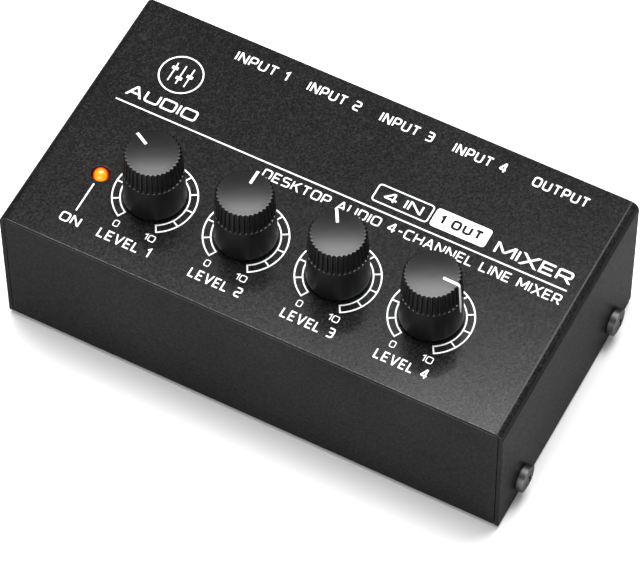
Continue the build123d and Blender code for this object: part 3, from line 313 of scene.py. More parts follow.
def make_materials():
    """One material for each of the record's slots."""
    return {
        "case_paint": powder_coat("case_paint"),
        "black_screws": metal("black_screws", (0.15, 0.15, 0.155), 0.34, grain=0.4, depth=0.004, edge=0.3),
        "foot_rubber": rubber("foot_rubber"),
        "board_laminate": board_laminate("board_laminate"),
        "plated_steel": metal("plated_steel", (0.64, 0.62, 0.58), 0.26),
        "socket_plastic": moulded("socket_plastic", (0.013, 0.013, 0.014), 0.42),
        "contact_metal": metal("contact_metal", (0.74, 0.62, 0.42), 0.3, (1.0, 0.08, 1.0)),
        "pot_can": metal("pot_can", (0.58, 0.58, 0.57), 0.34, (1.0, 0.1, 1.0)),
        "shaft_metal": metal("shaft_metal", (0.72, 0.72, 0.73), 0.22, (1.0, 1.0, 0.05)),
        "pot_phenolic": moulded("pot_phenolic", (0.2, 0.09, 0.035), 0.5, 0.5, 0.01, 0.3),
        "knob_plastic": knob_plastic("knob_plastic"),
        "white_ink": printed_ink("white_ink", (0.78, 0.79, 0.8)),
        "led_lens": lit_lens("led_lens"),
        "spacer_nylon": moulded("spacer_nylon", (0.7, 0.69, 0.64), 0.45),
        "tinned_wire": metal("tinned_wire", (0.66, 0.66, 0.66), 0.3, (1.0, 1.0, 0.1)),
        "chip_epoxy": moulded("chip_epoxy", (0.016, 0.016, 0.018), 0.55, 0.3, 0.01),
        "capacitor_sleeve": moulded("capacitor_sleeve", (0.02, 0.035, 0.12), 0.25, 1.5, 0.01),
        "film_capacitor": moulded("film_capacitor", (0.42, 0.05, 0.02), 0.25, 1.2, 0.02),
        "resistor_body": moulded("resistor_body", (0.16, 0.36, 0.5), 0.35, 0.6, 0.01),
    }


MATERIALS = make_materials()
DARK_INK = powder_coat("dark_ink")


# ---------------------------------------------------------------- mesh building


def new_piece(name, vertices, faces, slot, body=CASE, smooth=False, material=None):
    """A mesh object that rides on a body and takes its finish from one of the record's slots."""
    mesh = bpy.data.meshes.new(name)
    mesh.from_pydata([tuple(vertex) for vertex in vertices], [], faces)
    mesh.validate()
    return finish_piece(name, mesh, slot, body, smooth, material)


def finish_piece(name, mesh, slot, body, smooth, material=None):
    """Give a finished mesh its material, by default the one of its slot, its smoothing and its body."""
    mesh.materials.clear()
    mesh.materials.append(material or MATERIALS[slot])
    for face in mesh.polygons:
        face.use_smooth = smooth
    piece = bpy.data.objects.new(name, mesh)
    bpy.context.scene.collection.objects.link(piece)
    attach(piece, body)
    return piece


MERGE_DISTANCE = 1e-6
FLAT_ANGLE = 0.5
SHARP_ANGLE = 34
SHADING_ANGLE = 50
BEVEL_SEGMENTS = 3
NORMAL_WEIGHT = 80


def weighted_normals(piece, angle):
    """Smooth shading that keeps flat faces flat and only breaks at edges sharper than angle."""
    piece.data.shade_smooth()
    piece.data.set_sharp_from_angle(angle=radians(angle))
    normals = piece.modifiers.new("flat_faces_stay_flat", "WEIGHTED_NORMAL")
    normals.keep_sharp = True
    normals.weight = NORMAL_WEIGHT


def detailed_copy(node, name, edge, body=CASE):
    """The CAD node's shape with its tessellation cleaned and its sharp edges broken."""
    made = bmesh.new()
    made.from_mesh(frame["nodes"][node].data)
    bmesh.ops.remove_doubles(made, verts=made.verts, dist=MERGE_DISTANCE)
    bmesh.ops.dissolve_limit(made, angle_limit=radians(FLAT_ANGLE), verts=made.verts, edges=made.edges)
    sharp = [e for e in made.edges if e.is_manifold and e.calc_face_angle() > radians(SHARP_ANGLE)]
    bmesh.ops.bevel(
        made,
        geom=sharp,
        offset=edge,
        segments=BEVEL_SEGMENTS,
        profile=0.5,
        affect="EDGES",
        clamp_overlap=True,
    )
    mesh = bpy.data.meshes.new(name)
    made.to_mesh(mesh)
    made.free()
    piece = finish_piece(name, mesh, SLOTS[node], body, True)
    weighted_normals(piece, SHADING_ANGLE)
    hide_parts(node)
    return piece


def grid_faces(rows, columns):
    """Quads between neighbouring closed rows of equally many points."""
    faces = []
    for row in range(rows - 1):
        for column in range(columns):
            beside = (column + 1) % columns
            low = row * columns
            above = low + columns
            faces.append((low + column, low + beside, above + beside, above + column))
    return faces


def turned(rings, columns, radius_at):
    """A closed body turned about +Z: rings are (radius, height) pairs from underside to top."""
    points = []
    for ring in rings:
        for column in range(columns):
            angle = 2 * pi * column / columns
            radius, height = radius_at(ring, angle)
            points.append((radius * cos(angle), radius * sin(angle), height))
    faces = grid_faces(len(rings), columns)
    faces.append(tuple(reversed(range(columns))))
    first_of_last = (len(rings) - 1) * columns
    faces.append(tuple(range(first_of_last, first_of_last + columns)))
    return points, faces


def arc_points(centre, radius, start, end, steps):
    """Points on an arc; angles in degrees, counted anticlockwise from +X."""
    made = []
    for step in range(steps + 1):
        angle = radians(start + (end - start) * step / steps)
        made.append((centre[0] + radius * cos(angle), centre[1] + radius * sin(angle)))
    return made


# ---------------------------------------------------------------- knobs

KNOB_TOP_RADIUS = 6.25
KNOB_RIB_RADIUS = 6.6
KNOB_BASE_RADIUS = 6.9
KNOB_RIB_START = 9.1
KNOB_HEIGHT = 15.2
KNOB_CROWN = 0.25
KNOB_EDGE_ROUND = 0.45
FLUTE_COUNT = 36
FLUTE_RADIUS = 0.38
FLUTE_INSET = 0.16
FLUTE_END_ROUND = 0.35
SAMPLES_PER_FLUTE = 16
KNOB_BASE_ROUND = 0.25
KNOB_BORE_RADIUS = 3.2
KNOB_RECESS_RADIUS = 5.6
KNOB_RECESS_HEIGHT = 2.0
KNOB_BASE_FLARE = 0.85
FLUTE_FIRST_RISE = 0.08
CROWN_STEP = 0.02
KNOB_SHADING_ANGLE = 42
POINTER_WIDTH_SHARE = 0.74
BASE_STEPS = 8
FLUTE_STEPS = 9
RIM_STEPS = 8
CROWN_STEPS = 9
FLUTE_END_SWEEPS = (30, 55, 75, 90)


def fluted(flank, turn):
    """Depth below the flank at a turn from the pointer; flutes every 10 degrees but under it."""
    pitch = 2 * pi / FLUTE_COUNT
    place = round(turn / pitch)
    offset = turn - place * pitch
    centre = flank - FLUTE_INSET
    across = centre * sin(offset)
    if place % FLUTE_COUNT == 0 or abs(across) >= FLUTE_RADIUS:
        return 0.0
    floor = centre * cos(offset) - sqrt(FLUTE_RADIUS**2 - across**2)
    return max(0.0, flank - floor)


def knob_rings():
    """(radius, height, flank radius, flute depth share) up the knob, from its recess to its crown."""
    rings = [
        (KNOB_BORE_RADIUS, KNOB_RECESS_HEIGHT, 0.0, 0.0),
        (KNOB_RECESS_RADIUS, KNOB_RECESS_HEIGHT, 0.0, 0.0),
        (KNOB_RECESS_RADIUS, 0.0, 0.0, 0.0),
    ]
    middle = (KNOB_BASE_RADIUS - KNOB_BASE_ROUND, KNOB_BASE_ROUND)
    rings += [(*point, 0.0, 0.0) for point in arc_points(middle, KNOB_BASE_ROUND, -90, 0, 4)]
    for step in range(1, BASE_STEPS + 1):
        rise = step / BASE_STEPS
        radius = KNOB_BASE_RADIUS - (KNOB_BASE_RADIUS - KNOB_RIB_RADIUS) * rise**KNOB_BASE_FLARE
        height = KNOB_BASE_ROUND + (KNOB_RIB_START - KNOB_BASE_ROUND) * rise
        rings.append((radius, height, 0.0, 0.0))
    for sweep in FLUTE_END_SWEEPS:
        height = KNOB_RIB_START + FLUTE_END_ROUND * (1 - cos(radians(sweep)))
        rings.append((KNOB_RIB_RADIUS, height, KNOB_RIB_RADIUS, sin(radians(sweep))))
    flute_rise = KNOB_HEIGHT - KNOB_RIB_START
    straight = 1 - KNOB_EDGE_ROUND / flute_rise
    for step in range(1, FLUTE_STEPS + 1):
        rise = FLUTE_FIRST_RISE + (straight - FLUTE_FIRST_RISE) * step / FLUTE_STEPS
        radius = KNOB_RIB_RADIUS + (KNOB_TOP_RADIUS - KNOB_RIB_RADIUS) * rise
        rings.append((radius, KNOB_RIB_START + flute_rise * rise, radius, 1.0))
    face = rings[-1][0] - KNOB_EDGE_ROUND
    rim = arc_points((face, KNOB_HEIGHT - KNOB_EDGE_ROUND), KNOB_EDGE_ROUND, 0, 90, RIM_STEPS)
    rings += [(*point, KNOB_TOP_RADIUS, 1.0) for point in rim[1:]]
    for step in range(1, CROWN_STEPS):
        radius = face * (1 - step / CROWN_STEPS)
        crown = KNOB_CROWN * (1 - (radius / face) ** 2)
        rings.append((radius, KNOB_HEIGHT + crown - CROWN_STEP, 0.0, 0.0))
    return rings


def build_knob(number):
    """Fluted knob with a slightly domed top, in place of the plainer CAD knob."""
    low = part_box(f"knob_{number}")[0]
    joint = JOINTS[f"level_{number}_turn"]
    centre = Vector((joint["pos_m"][0], joint["pos_m"][1], low.z))
    pointer_low, pointer_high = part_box(f"pointer_{number}")
    towards = (pointer_low + pointer_high) / 2 - centre
    pointer_angle = atan2(towards.y, towards.x)

    def radius_at(ring, angle):
        radius, height, flank, depth = ring
        if depth:
            radius = min(radius, flank - depth * fluted(flank, angle - pointer_angle))
        return radius * MM, height * MM

    points, faces = turned(knob_rings(), FLUTE_COUNT * SAMPLES_PER_FLUTE, radius_at)
    places = [centre + Vector(point) for point in points]
    knob = new_piece(f"fluted_knob_{number}", places, faces, "knob_plastic", f"level_knob_{number}")
    weighted_normals(knob, KNOB_SHADING_ANGLE)
    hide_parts(f"knob_{number}")
    bar = detailed_copy(f"pointer_{number}", f"pointer_bar_{number}", 0.1 * MM, f"level_knob_{number}")
    across = Vector((-sin(pointer_angle), cos(pointer_angle), 0))
    for vertex in bar.data.vertices:
        vertex.co -= across * (vertex.co - centre).dot(across) * (1 - POINTER_WIDTH_SHARE)


# ---------------------------------------------------------------- printed legends

INK_THICKNESS = 0.03 * MM
CORNER = 0.24
LETTER_GAP = 0.16
WORD_SPACE = 0.36
STROKE_LIFT = 0.06
CORNER_REACH = 0.42
CORNER_STEPS = 6
MITRE_LIMIT = 0.35
LEVEL_END_REACH = 0.6
SCALE_INNER = 7.5
SCALE_OUTER = 9.24
SCALE_LINE = 0.33
SCALE_HALF_SWEEP = 150
SCALE_RUNG_STEP = 30
SCALE_ARC_STEPS = 72
SCALE_NUMBER_DROP = 9.9
SCALE_NUMBER_CAP = 1.72
SCALE_NUMBER_STROKE = 0.21
LEVEL_WORD_DROP = 13.4
SMALL_CAP = 2.5
SMALL_STROKE = 0.34
INPUT_WORD_Y = 27.9
INPUT_WORD_CAP = 2.6
RULE_Y = 5.7
BADGE_CENTRE = (-43.2, 17.6)
BADGE_RADIUS = 4.9
FADER_HALF_LENGTH = 2.6
FADER_KNOB_HALF = 0.72
FADERS = ((-2.0, 1.1), (0.0, -1.0), (2.0, 0.3))
INPUTS_PLATE = ((8.5, 7.6), (21.6, 12.1))
OUTPUT_PLATE = ((22.3, 7.4), (35.4, 12.3))
PLATE_WORDS_LOW = 8.6
PLATE_WORDS_HIGH = 11.1

# Letter: (width, strokes). A stroke is a kind and its points on a field one unit high:
# "r" is a path with rounded corners, "s" one with sharp corners, "c" a closed rounded path,
# "d" a slanted bar whose ends are cut level.
GLYPHS = {
    "A": (0.9, [("d", (0, 0), (0.45, 1)), ("d", (0.9, 0), (0.45, 1)), ("s", (0.2, 0.3), (0.7, 0.3))]),
    "C": (0.78, [("r", (0.78, 1), (0, 1), (0, 0), (0.78, 0))]),
    "D": (0.84, [("r", (0, 0), (0.84, 0), (0.84, 1), (0, 1)), ("s", (0, 1), (0, 0))]),
    "E": (0.7, [("s", (0.7, 1), (0, 1), (0, 0), (0.7, 0)), ("s", (0, 0.5), (0.62, 0.5))]),
    "H": (0.82, [("s", (0, 0), (0, 1)), ("s", (0.82, 0), (0.82, 1)), ("s", (0, 0.5), (0.82, 0.5))]),
    "I": (0.0, [("s", (0, 0), (0, 1))]),
    "K": (0.8, [("s", (0, 0), (0, 1)), ("d", (0.12, 0.44), (0.78, 1)), ("d", (0.34, 0.6), (0.8, 0))]),
    "L": (0.66, [("s", (0, 1), (0, 0), (0.66, 0))]),
    "M": (
        1.0,
        [
            ("s", (0, 0), (0, 1)),
            ("s", (1, 0), (1, 1)),
            ("d", (0, 1), (0.5, 0.2)),
            ("d", (1, 1), (0.5, 0.2)),
        ],
    ),
    "N": (0.84, [("s", (0, 0), (0, 1)), ("s", (0.84, 0), (0.84, 1)), ("d", (0, 1), (0.84, 0))]),
    "O": (0.88, [("c", (0, 0), (0.88, 0), (0.88, 1), (0, 1))]),
    "P": (0.76, [("s", (0, 0), (0, 1)), ("r", (0, 1), (0.76, 1), (0.76, 0.4), (0, 0.4))]),
    "R": (
        0.78,
        [
            ("s", (0, 0), (0, 1)),
            ("r", (0, 1), (0.76, 1), (0.76, 0.42), (0, 0.42)),
            ("d", (0.4, 0.42), (0.78, 0)),
        ],
    ),
    "S": (0.76, [("r", (0.76, 1), (0, 1), (0, 0.52), (0.76, 0.52), (0.76, 0), (0, 0))]),
    "T": (0.8, [("s", (0, 1), (0.8, 1)), ("s", (0.4, 1), (0.4, 0))]),
    "U": (0.84, [("r", (0, 1), (0, 0), (0.84, 0), (0.84, 1))]),
    "V": (0.9, [("d", (0, 1), (0.45, 0)), ("d", (0.9, 1), (0.45, 0))]),
    "X": (0.86, [("d", (0, 0), (0.86, 1)), ("d", (0, 1), (0.86, 0))]),
    "0": (0.74, [("c", (0, 0), (0.74, 0), (0.74, 1), (0, 1))]),
    "1": (0.3, [("s", (0, 0.78), (0.3, 1), (0.3, 0))]),
    "2": (0.74, [("r", (0, 1), (0.74, 1), (0.74, 0.5), (0, 0.5), (0, 0), (0.74, 0))]),
    "3": (0.74, [("r", (0, 1), (0.74, 1), (0.74, 0), (0, 0)), ("s", (0.14, 0.52), (0.74, 0.52))]),
    "4": (0.82, [("s", (0.6, 0), (0.6, 1)), ("d", (0, 0.3), (0.56, 1)), ("s", (0, 0.28), (0.82, 0.28))]),
    "-": (0.42, [("s", (0, 0.48), (0.42, 0.48))]),
}


def round_corners(points, radius, closed):
    """Replace the corners of a path by short arcs."""
    count = len(points)
    made = []
    for index, corner in enumerate(points):
        if not closed and index in (0, count - 1):
            made.append(corner)
            continue
        before = Vector(points[index - 1]) - Vector(corner)
        after = Vector(points[(index + 1) % count]) - Vector(corner)
        reach = min(radius, CORNER_REACH * before.length, CORNER_REACH * after.length)
        start = Vector(corner) + before.normalized() * reach
        end = Vector(corner) + after.normalized() * reach
        for step in range(CORNER_STEPS + 1):
            share = step / CORNER_STEPS
            bend = start * (1 - share) ** 2 + Vector(corner) * 2 * share * (1 - share) + end * share**2
            made.append((bend.x, bend.y))
    return made


def path_sides(points, width, closed):
    """Left and right edges of a path of that width, mitred at its corners."""
    count = len(points)
    left, right = [], []
    for index in range(count):
        here = Vector(points[index])
        came = here - Vector(points[index - 1]) if closed or index else None
        goes = Vector(points[(index + 1) % count]) - here if closed or index < count - 1 else None
        came = (came or goes).normalized()
        goes = (goes or came).normalized()
        along = (came + goes).normalized()
        across = Vector((-along.y, along.x)) * (width / 2 / max(MITRE_LIMIT, along.dot(goes)))
        left.append(here + across)
        right.append(here - across)
    return left, right


class Print:
    """Ink laid on a flat face: collects strokes in millimetres and turns them into one thin mesh."""

    def __init__(self, z):
        self.z = z
        self.vertices = []
        self.faces = []

    def add_strip(self, left, right, closed, lift=1.0):
        """A prism between two edges of equally many points."""
        count = len(left)
        base = len(self.vertices)
        for height in (self.z, self.z + INK_THICKNESS * lift):
            for edge in (left, right):
                self.vertices += [(p.x * MM, p.y * MM + MIDDLE_Y, height) for p in edge]
        low_l, low_r, top_l, top_r = (base + count * n for n in range(4))
        last = count if closed else count - 1
        for i in range(last):
            j = (i + 1) % count
            self.faces.append((top_r + i, top_r + j, top_l + j, top_l + i))
            self.faces.append((low_l + i, low_l + j, low_r + j, low_r + i))
            self.faces.append((low_r + i, low_r + j, top_r + j, top_r + i))
            self.faces.append((top_l + i, top_l + j, low_l + j, low_l + i))
        if not closed:
            end = count - 1
            self.faces.append((low_l, low_r, top_r, top_l))
            self.faces.append((low_r + end, low_l + end, top_l + end, top_r + end))

    def add_path(self, points, width, closed=False, corner=0.0, lift=1.0):
        if corner:
            points = round_corners(points, corner, closed)
        left, right = path_sides(points, width, closed)
        self.add_strip(left, right, closed, lift)

    def add_slant(self, start, end, width, lift):
        """A slanted bar whose ends are cut parallel to the line of text."""
        run, rise = end[0] - start[0], end[1] - start[1]
        half = width / 2 * hypot(run, rise) / abs(rise)
        if rise < 0:
            start, end = end, start
        left = [Vector((p[0] - half, p[1])) for p in (start, end)]
        right = [Vector((p[0] + half, p[1])) for p in (start, end)]
        self.add_strip(left, right, False, lift)

    def add_disc_ring(self, centre, radius, width, steps=64):
        points = arc_points(centre, radius, 0, 360 - 360 / steps, steps - 1)
        self.add_path(points, width, closed=True)

    def add_plate(self, low, high, corner):
        """A filled rounded rectangle."""
        mid = (low[1] + high[1]) / 2
        corners = [(high[0], mid), (high[0], high[1]), (low[0], high[1]), (low[0], mid)]
        upper = round_corners(corners, corner, False)
        left = [Vector(p) for p in upper]
        right = [Vector((p[0], 2 * mid - p[1])) for p in upper]
        self.add_strip(left[1:-1], right[1:-1], False)

    def add_text(self, text, low, high, stroke):
        """Square-built capitals that fill the box from low to high."""
        cap = high[1] - low[1]
        rise = cap - stroke
        letters = [c for c in text if c != " "]
        widths = sum(GLYPHS[c][0] for c in letters)
        gap = LETTER_GAP * cap
        space = WORD_SPACE * cap
        fixed = len(letters) * stroke + (len(text) - 1) * gap + text.count(" ") * space
        stretch = (high[0] - low[0] - fixed) / widths
        pen = low[0]
        for letter in text:
            if letter == " ":
                pen += space + gap
                continue
            width, strokes = GLYPHS[letter]
            for order, (kind, *points) in enumerate(strokes):
                lift = 1.0 + STROKE_LIFT * order
                placed = [
                    (pen + stroke / 2 + x * stretch, low[1] + stroke / 2 + y * rise) for x, y in points
                ]
                if kind == "d":
                    placed = [(x, level_end(y, low[1], high[1], stroke)) for x, y in placed]
                    self.add_slant(*placed, stroke, lift)
                else:
                    corner = CORNER * cap if kind in "rc" else 0.0
                    self.add_path(placed, stroke, kind == "c", corner, lift)
            pen += stroke + width * stretch + gap

    def build(self, name, slot="white_ink", material=None):
        return new_piece(name, self.vertices, self.faces, slot, CASE, False, material)


def level_end(y, low, high, stroke):
    """Let a slanted bar's end reach the line that the other strokes' edges reach."""
    if y < low + LEVEL_END_REACH * stroke:
        return low
    if y > high - LEVEL_END_REACH * stroke:
        return high
    return y


def text_piece(name, text, centre, size, stroke):
    """One line of white capitals on the panel, filling a box round centre; millimetres."""
    ink = Print(PANEL_Z)
    low = (centre[0] - size[0] / 2, centre[1] - size[1] / 2)
    high = (centre[0] + size[0] / 2, centre[1] + size[1] / 2)
    ink.add_text(text, low, high, stroke)
    return ink.build(name)


def build_scale(number, x, y):
    """Ladder-like arc round a knob, from 0 to 10."""
    ends = (90 - SCALE_HALF_SWEEP, 90 + SCALE_HALF_SWEEP)
    scale = Print(PANEL_Z)
    outline = arc_points((x, y), SCALE_OUTER, ends[0], ends[1], SCALE_ARC_STEPS)
    outline += arc_points((x, y), SCALE_INNER, ends[1], ends[0], SCALE_ARC_STEPS)
    scale.add_path(outline, SCALE_LINE, closed=True)
    for step in range(1, 10):
        angle = radians(ends[0] + SCALE_RUNG_STEP * step)
        way = Vector((cos(angle), sin(angle)))
        centre = Vector((x, y))
        rung = [
            centre + way * (SCALE_INNER + SCALE_LINE / 2),
            centre + way * (SCALE_OUTER - SCALE_LINE / 2),
        ]
        scale.add_path([tuple(p) for p in rung], SCALE_LINE)
    scale.build(f"scale_ring_{number}")
    for name, text, across, width in (("zero", "0", -4.0, 1.35), ("ten", "10", 4.1, 2.6)):
        place = (x + across, y - SCALE_NUMBER_DROP)
        size = (width, SCALE_NUMBER_CAP)
        text_piece(f"scale_{name}_{number}", text, place, size, SCALE_NUMBER_STROKE)
    place = (x - 0.17, y - LEVEL_WORD_DROP)
    text_piece(f"level_word_{number}", f"LEVEL {number}", place, (12.45, SMALL_CAP), SMALL_STROKE)


def build_legends():
    """White print on the top panel; all of it generic."""
    for number in KNOB_NUMBERS:
        joint = JOINTS[f"level_{number}_turn"]
        build_scale(number, joint["pos_m"][0] / MM, (joint["pos_m"][1] - MIDDLE_Y) / MM)
        socket = MOUNTS[f"input_{number}_socket_bore"]["pos_m"][0] / MM
        place = (socket - 0.1, INPUT_WORD_Y)
        text_piece(f"input_word_{number}", f"INPUT {number}", place, (12.8, INPUT_WORD_CAP), 0.37)
    output = MOUNTS["output_socket_bore"]["pos_m"][0] / MM
    text_piece("output_word", "OUTPUT", (output, INPUT_WORD_Y), (13.2, INPUT_WORD_CAP), 0.38)

    low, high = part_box("led_lens")
    led_x = (low.x + high.x) / 2 / MM
    text_piece("on_word", "ON", (led_x, -26.45), (4.8, 2.4), 0.35)
    leader = Print(PANEL_Z)
    leader.add_path([(led_x, -16.2), (led_x, -24.0)], 0.35)
    leader.build("on_leader_line")

    rule = Print(PANEL_Z)
    rule.add_path([(-52.8, RULE_Y), (55.8, RULE_Y)], SMALL_STROKE)
    rule.build("rule_line")
    description = "DESKTOP AUDIO 4-CHANNEL LINE MIXER"
    text_piece("description_words", description, (20.3, 3.05), (71.0, SMALL_CAP), SMALL_STROKE)
    text_piece("mixer_word", "MIXER", (46.6, 8.9), (18.2, 3.1), 0.5)
    build_badge()
    build_plates()


def build_badge():
    """Generic mark: a ring round three fader bars, with the word AUDIO under it."""
    badge = Print(PANEL_Z)
    badge.add_disc_ring(BADGE_CENTRE, BADGE_RADIUS, SMALL_STROKE)
    for offset, knob_height in FADERS:
        x = BADGE_CENTRE[0] + offset
        low, high = BADGE_CENTRE[1] - FADER_HALF_LENGTH, BADGE_CENTRE[1] + FADER_HALF_LENGTH
        badge.add_path([(x, low), (x, high)], 0.3)
        y = BADGE_CENTRE[1] + knob_height
        badge.add_path([(x - FADER_KNOB_HALF, y), (x + FADER_KNOB_HALF, y)], 0.8, lift=1.1)
    badge.build("badge_ring")
    text_piece("audio_word", "AUDIO", (BADGE_CENTRE[0], 9.2), (17.0, 2.9), 0.46)


def build_plates():
    """Outlined plate for the inputs and filled plate for the output."""
    outline = Print(PANEL_Z)
    (left, bottom), (right, top) = INPUTS_PLATE
    corners = [(left, bottom), (right, bottom), (right, top), (left, top)]
    outline.add_path(corners, 0.33, closed=True, corner=0.8)
    outline.add_text("4 IN", (10.6, PLATE_WORDS_LOW), (19.7, PLATE_WORDS_HIGH), 0.42)
    outline.build("inputs_plate")
    filled = Print(PANEL_Z)
    filled.add_plate(*OUTPUT_PLATE, 0.9)
    filled.build("output_plate")
    knocked_out = Print(PANEL_Z + INK_THICKNESS)
    knocked_out.add_text("1 OUT", (23.8, PLATE_WORDS_LOW), (34.0, PLATE_WORDS_HIGH), 0.6)
    knocked_out.build("output_plate_words", "case_paint", DARK_INK)


# ---------------------------------------------------------------- other pieces


FLANGE_RADIUS = 2.3
FLANGE_HEIGHT = 0.9
FLANGE_EDGE = 0.1
NOSE_RADIUS = 4.76
NOSE_BORE_RADIUS = 3.66
THREAD_PITCH = 0.7
THREAD_DEPTH = 0.3
THREAD_COLUMNS = 72
THREAD_ROWS = 34
THREAD_CREST_SHARE = 0.9
THREAD_SHADING_ANGLE = 60
NUT_OVERLAP = 0.05
NOSE_END_GAP = 0.1
NOSE_TAPER_LENGTH = 0.45
NOSE_TAPER_DROP = 0.25


def build_led():
    """Domed lens with a smooth round top."""
    low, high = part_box("led_lens")
    centre = Vector(((low.x + high.x) / 2, (low.y + high.y) / 2, 0))
    top = high.z / MM
    base = low.z / MM
    shoulder = base + FLANGE_HEIGHT
    rings = [
        (FLANGE_RADIUS - FLANGE_EDGE, base),
        (FLANGE_RADIUS, base + FLANGE_EDGE),
        (FLANGE_RADIUS, shoulder - FLANGE_EDGE),
        (FLANGE_RADIUS - FLANGE_EDGE, shoulder),
        (LENS_RADIUS, shoulder),
    ]
    rings += arc_points((0, top - LENS_RADIUS), LENS_RADIUS, 0, 84, 18)

    def radius_at(ring, angle):
        return ring[0] * MM, ring[1] * MM

    points, faces = turned(rings, 64, radius_at)
    lens = new_piece("led_dome", [centre + Vector(p) for p in points], faces, "led_lens", CASE, True)
    lens.data.set_sharp_from_angle(angle=radians(SHADING_ANGLE))
    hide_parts("led_lens")


def build_socket_threads():
    """Helical thread on the stretch of each socket's nose that stands out past its nut."""
    nut_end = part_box("jack_nuts")[1].y
    columns, rows = THREAD_COLUMNS, THREAD_ROWS
    for name in ("input_1", "input_2", "input_3", "input_4", "output"):
        mount = MOUNTS[f"{name}_socket_bore"]
        node = "output_jack" if name == "output" else f"input_jack_{name[-1]}"
        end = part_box(node)[1].y
        centre = Vector((mount["pos_m"][0], 0, mount["pos_m"][2]))
        points = []
        for row in range(rows):
            y = nut_end - NUT_OVERLAP * MM + (end - NOSE_END_GAP * MM - nut_end) * row / (rows - 1)
            for column in range(columns):
                angle = 2 * pi * column / columns
                phase = (y / MM / THREAD_PITCH + column / columns) % 1.0
                crest = NOSE_RADIUS - THREAD_DEPTH * abs(2 * phase - 1) * THREAD_CREST_SHARE
                taper = min(1.0, (end - y) / (NOSE_TAPER_LENGTH * MM))
                radius = (crest - NOSE_TAPER_DROP * (1 - taper)) * MM
                points.append(centre + Vector((radius * cos(angle), y, radius * sin(angle))))
        faces = grid_faces(rows, columns)
        inner = len(points)
        bore = NOSE_BORE_RADIUS * MM
        for row_y in (nut_end - NUT_OVERLAP * MM, end - NOSE_END_GAP * MM):
            for column in range(columns):
                angle = 2 * pi * column / columns
                points.append(centre + Vector((bore * cos(angle), row_y, bore * sin(angle))))
        last = (rows - 1) * columns
        for column in range(columns):
            beside = (column + 1) % columns
            faces.append((column, inner + column, inner + beside, beside))
            outer_end = inner + columns
            faces.append((last + column, last + beside, outer_end + beside, outer_end + column))
            faces.append((inner + column, outer_end + column, outer_end + beside, inner + beside))
        thread = new_piece(f"nose_thread_{name}", points, faces, "socket_plastic", CASE, True)
        thread.data.set_sharp_from_angle(angle=radians(THREAD_SHADING_ANGLE))


def build_outer_pieces():
    """The case and its fittings, with broken edges that catch the light."""
    detailed_copy("top_cover", "cover_shell", 0.2 * MM)
    detailed_copy("chassis", "chassis_tray", 0.12 * MM)
    detailed_copy("cover_screws", "side_screws", 0.12 * MM)
    detailed_copy("rubber_feet", "foot_pads", 0.1 * MM)
    detailed_copy("jack_washers", "socket_washers", 0.06 * MM)
    detailed_copy("jack_nuts", "socket_nuts", 0.1 * MM)
    detailed_copy("dc_jack_housing", "inlet_housing", 0.1 * MM)
    for number in KNOB_NUMBERS:
        build_knob(number)
    build_led()
    build_socket_threads()


def dress_cad_nodes():
    """Every CAD node takes its slot's material."""
    for name, node in frame["nodes"].items():
        node.data.materials.clear()
        node.data.materials.append(MATERIALS[SLOTS[name]])


# ---------------------------------------------------------------- stage


FLOOR_HALF = 2.5
WORLD_STRENGTH = 0.15


def build_floor():
    """Plain pale floor with a faint sheen."""
    mesh = bpy.data.meshes.new("floor")
    corners = [(-1, -1), (1, -1), (1, 1), (-1, 1)]
    mesh.from_pydata([(x * FLOOR_HALF, y * FLOOR_HALF, 0) for x, y in corners], [], [(0, 1, 2, 3)])
    pale = Finish("floor_pale", IOR=1.45)
    cloud = pale.noise(0.4)
    pale.set("Base Color", pale.ramp(cloud, (0.3, 0.82), (0.7, 0.84)))
    pale.set("Roughness", pale.span(cloud, 0.1, 0.12))
    mesh.materials.append(pale.material)
    floor = bpy.data.objects.new("floor", mesh)
    bpy.context.scene.collection.objects.link(floor)


def direction(azimuth, elevation):
    """Unit vector from the object towards a place seen at that azimuth and elevation."""
    a, e = radians(azimuth), radians(elevation)
    return Vector((sin(a) * cos(e), -cos(a) * cos(e), sin(e)))


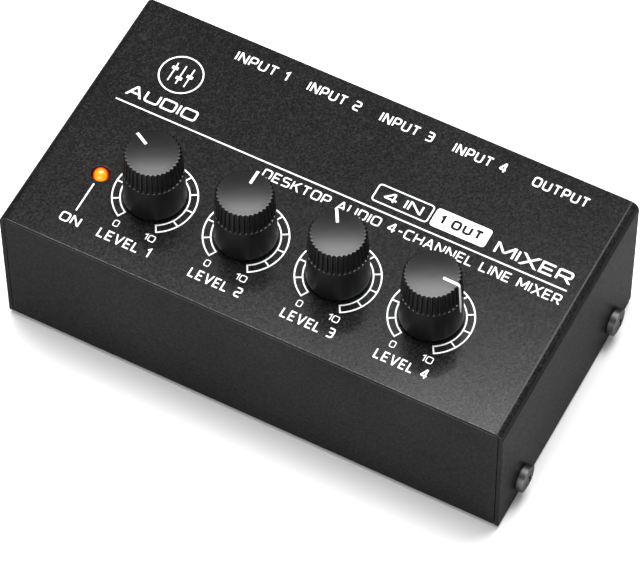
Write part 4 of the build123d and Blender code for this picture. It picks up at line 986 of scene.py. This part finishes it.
def add_softbox(name, place, size, turn, radiance, aim=None):
    """Rectangular lamp of that radiance, facing straight down unless it is given a place to aim at."""
    lamp = bpy.data.lights.new(name, "AREA")
    lamp.shape = "RECTANGLE"
    lamp.size, lamp.size_y = size
    lamp.energy = radiance * pi * size[0] * size[1]
    light = bpy.data.objects.new(name, lamp)
    light.location = place
    light.rotation_euler = (0, 0, radians(turn))
    if aim is not None:
        light.rotation_euler = (aim - Vector(place)).to_track_quat("-Z", "Y").to_euler()
    bpy.context.scene.collection.objects.link(light)


def build_lights():
    """A dim even world, a long softbox behind, one overhead and a low one in front."""
    world = bpy.data.worlds.new("studio")
    world.use_nodes = True
    world.node_tree.nodes["Background"].inputs["Color"].default_value = (1, 1, 1, 1)
    world.node_tree.nodes["Background"].inputs["Strength"].default_value = WORLD_STRENGTH
    bpy.context.scene.world = world
    add_softbox("overhead", (-0.08, 0.274, 1.0), (0.5, 1.0), turn=-62, radiance=17.0)
    add_softbox("zenith", (0.05, -0.1, 1.5), (0.8, 0.8), turn=0, radiance=3.2)
    add_softbox("front_fill", 1.5 * direction(6, 22), (1.2, 1.0), turn=0, radiance=4.5, aim=Vector())


def build_camera():
    """Long lens, from the front right and well above."""
    azimuth, elevation, distance, roll = 28.098, 56.701, 0.990, -0.518
    aim = Vector((-1.306 * MM, MIDDLE_Y + 2.405 * MM, CASE_LOW.z + 1.836 * MM))
    data = bpy.data.cameras.new("camera")
    data.sensor_fit = "HORIZONTAL"
    data.sensor_width = 36.0
    data.lens = 253.15
    data.clip_start, data.clip_end = 0.05, 20
    camera = bpy.data.objects.new("camera", data)
    back = direction(azimuth, elevation)
    right = Vector((cos(radians(azimuth)), sin(radians(azimuth)), 0))
    up = back.cross(right)
    turned_right = right * cos(radians(roll)) + up * sin(radians(roll))
    turned_up = back.cross(turned_right)
    facing = Matrix((turned_right, turned_up, back)).transposed().to_4x4()
    camera.matrix_world = Matrix.Translation(aim + back * distance) @ facing
    bpy.context.scene.collection.objects.link(camera)
    bpy.context.scene.camera = camera


build_camera()
dress_cad_nodes()
build_outer_pieces()
build_legends()
build_floor()
build_lights()
bpy.context.scene.view_settings.view_transform = "Standard"
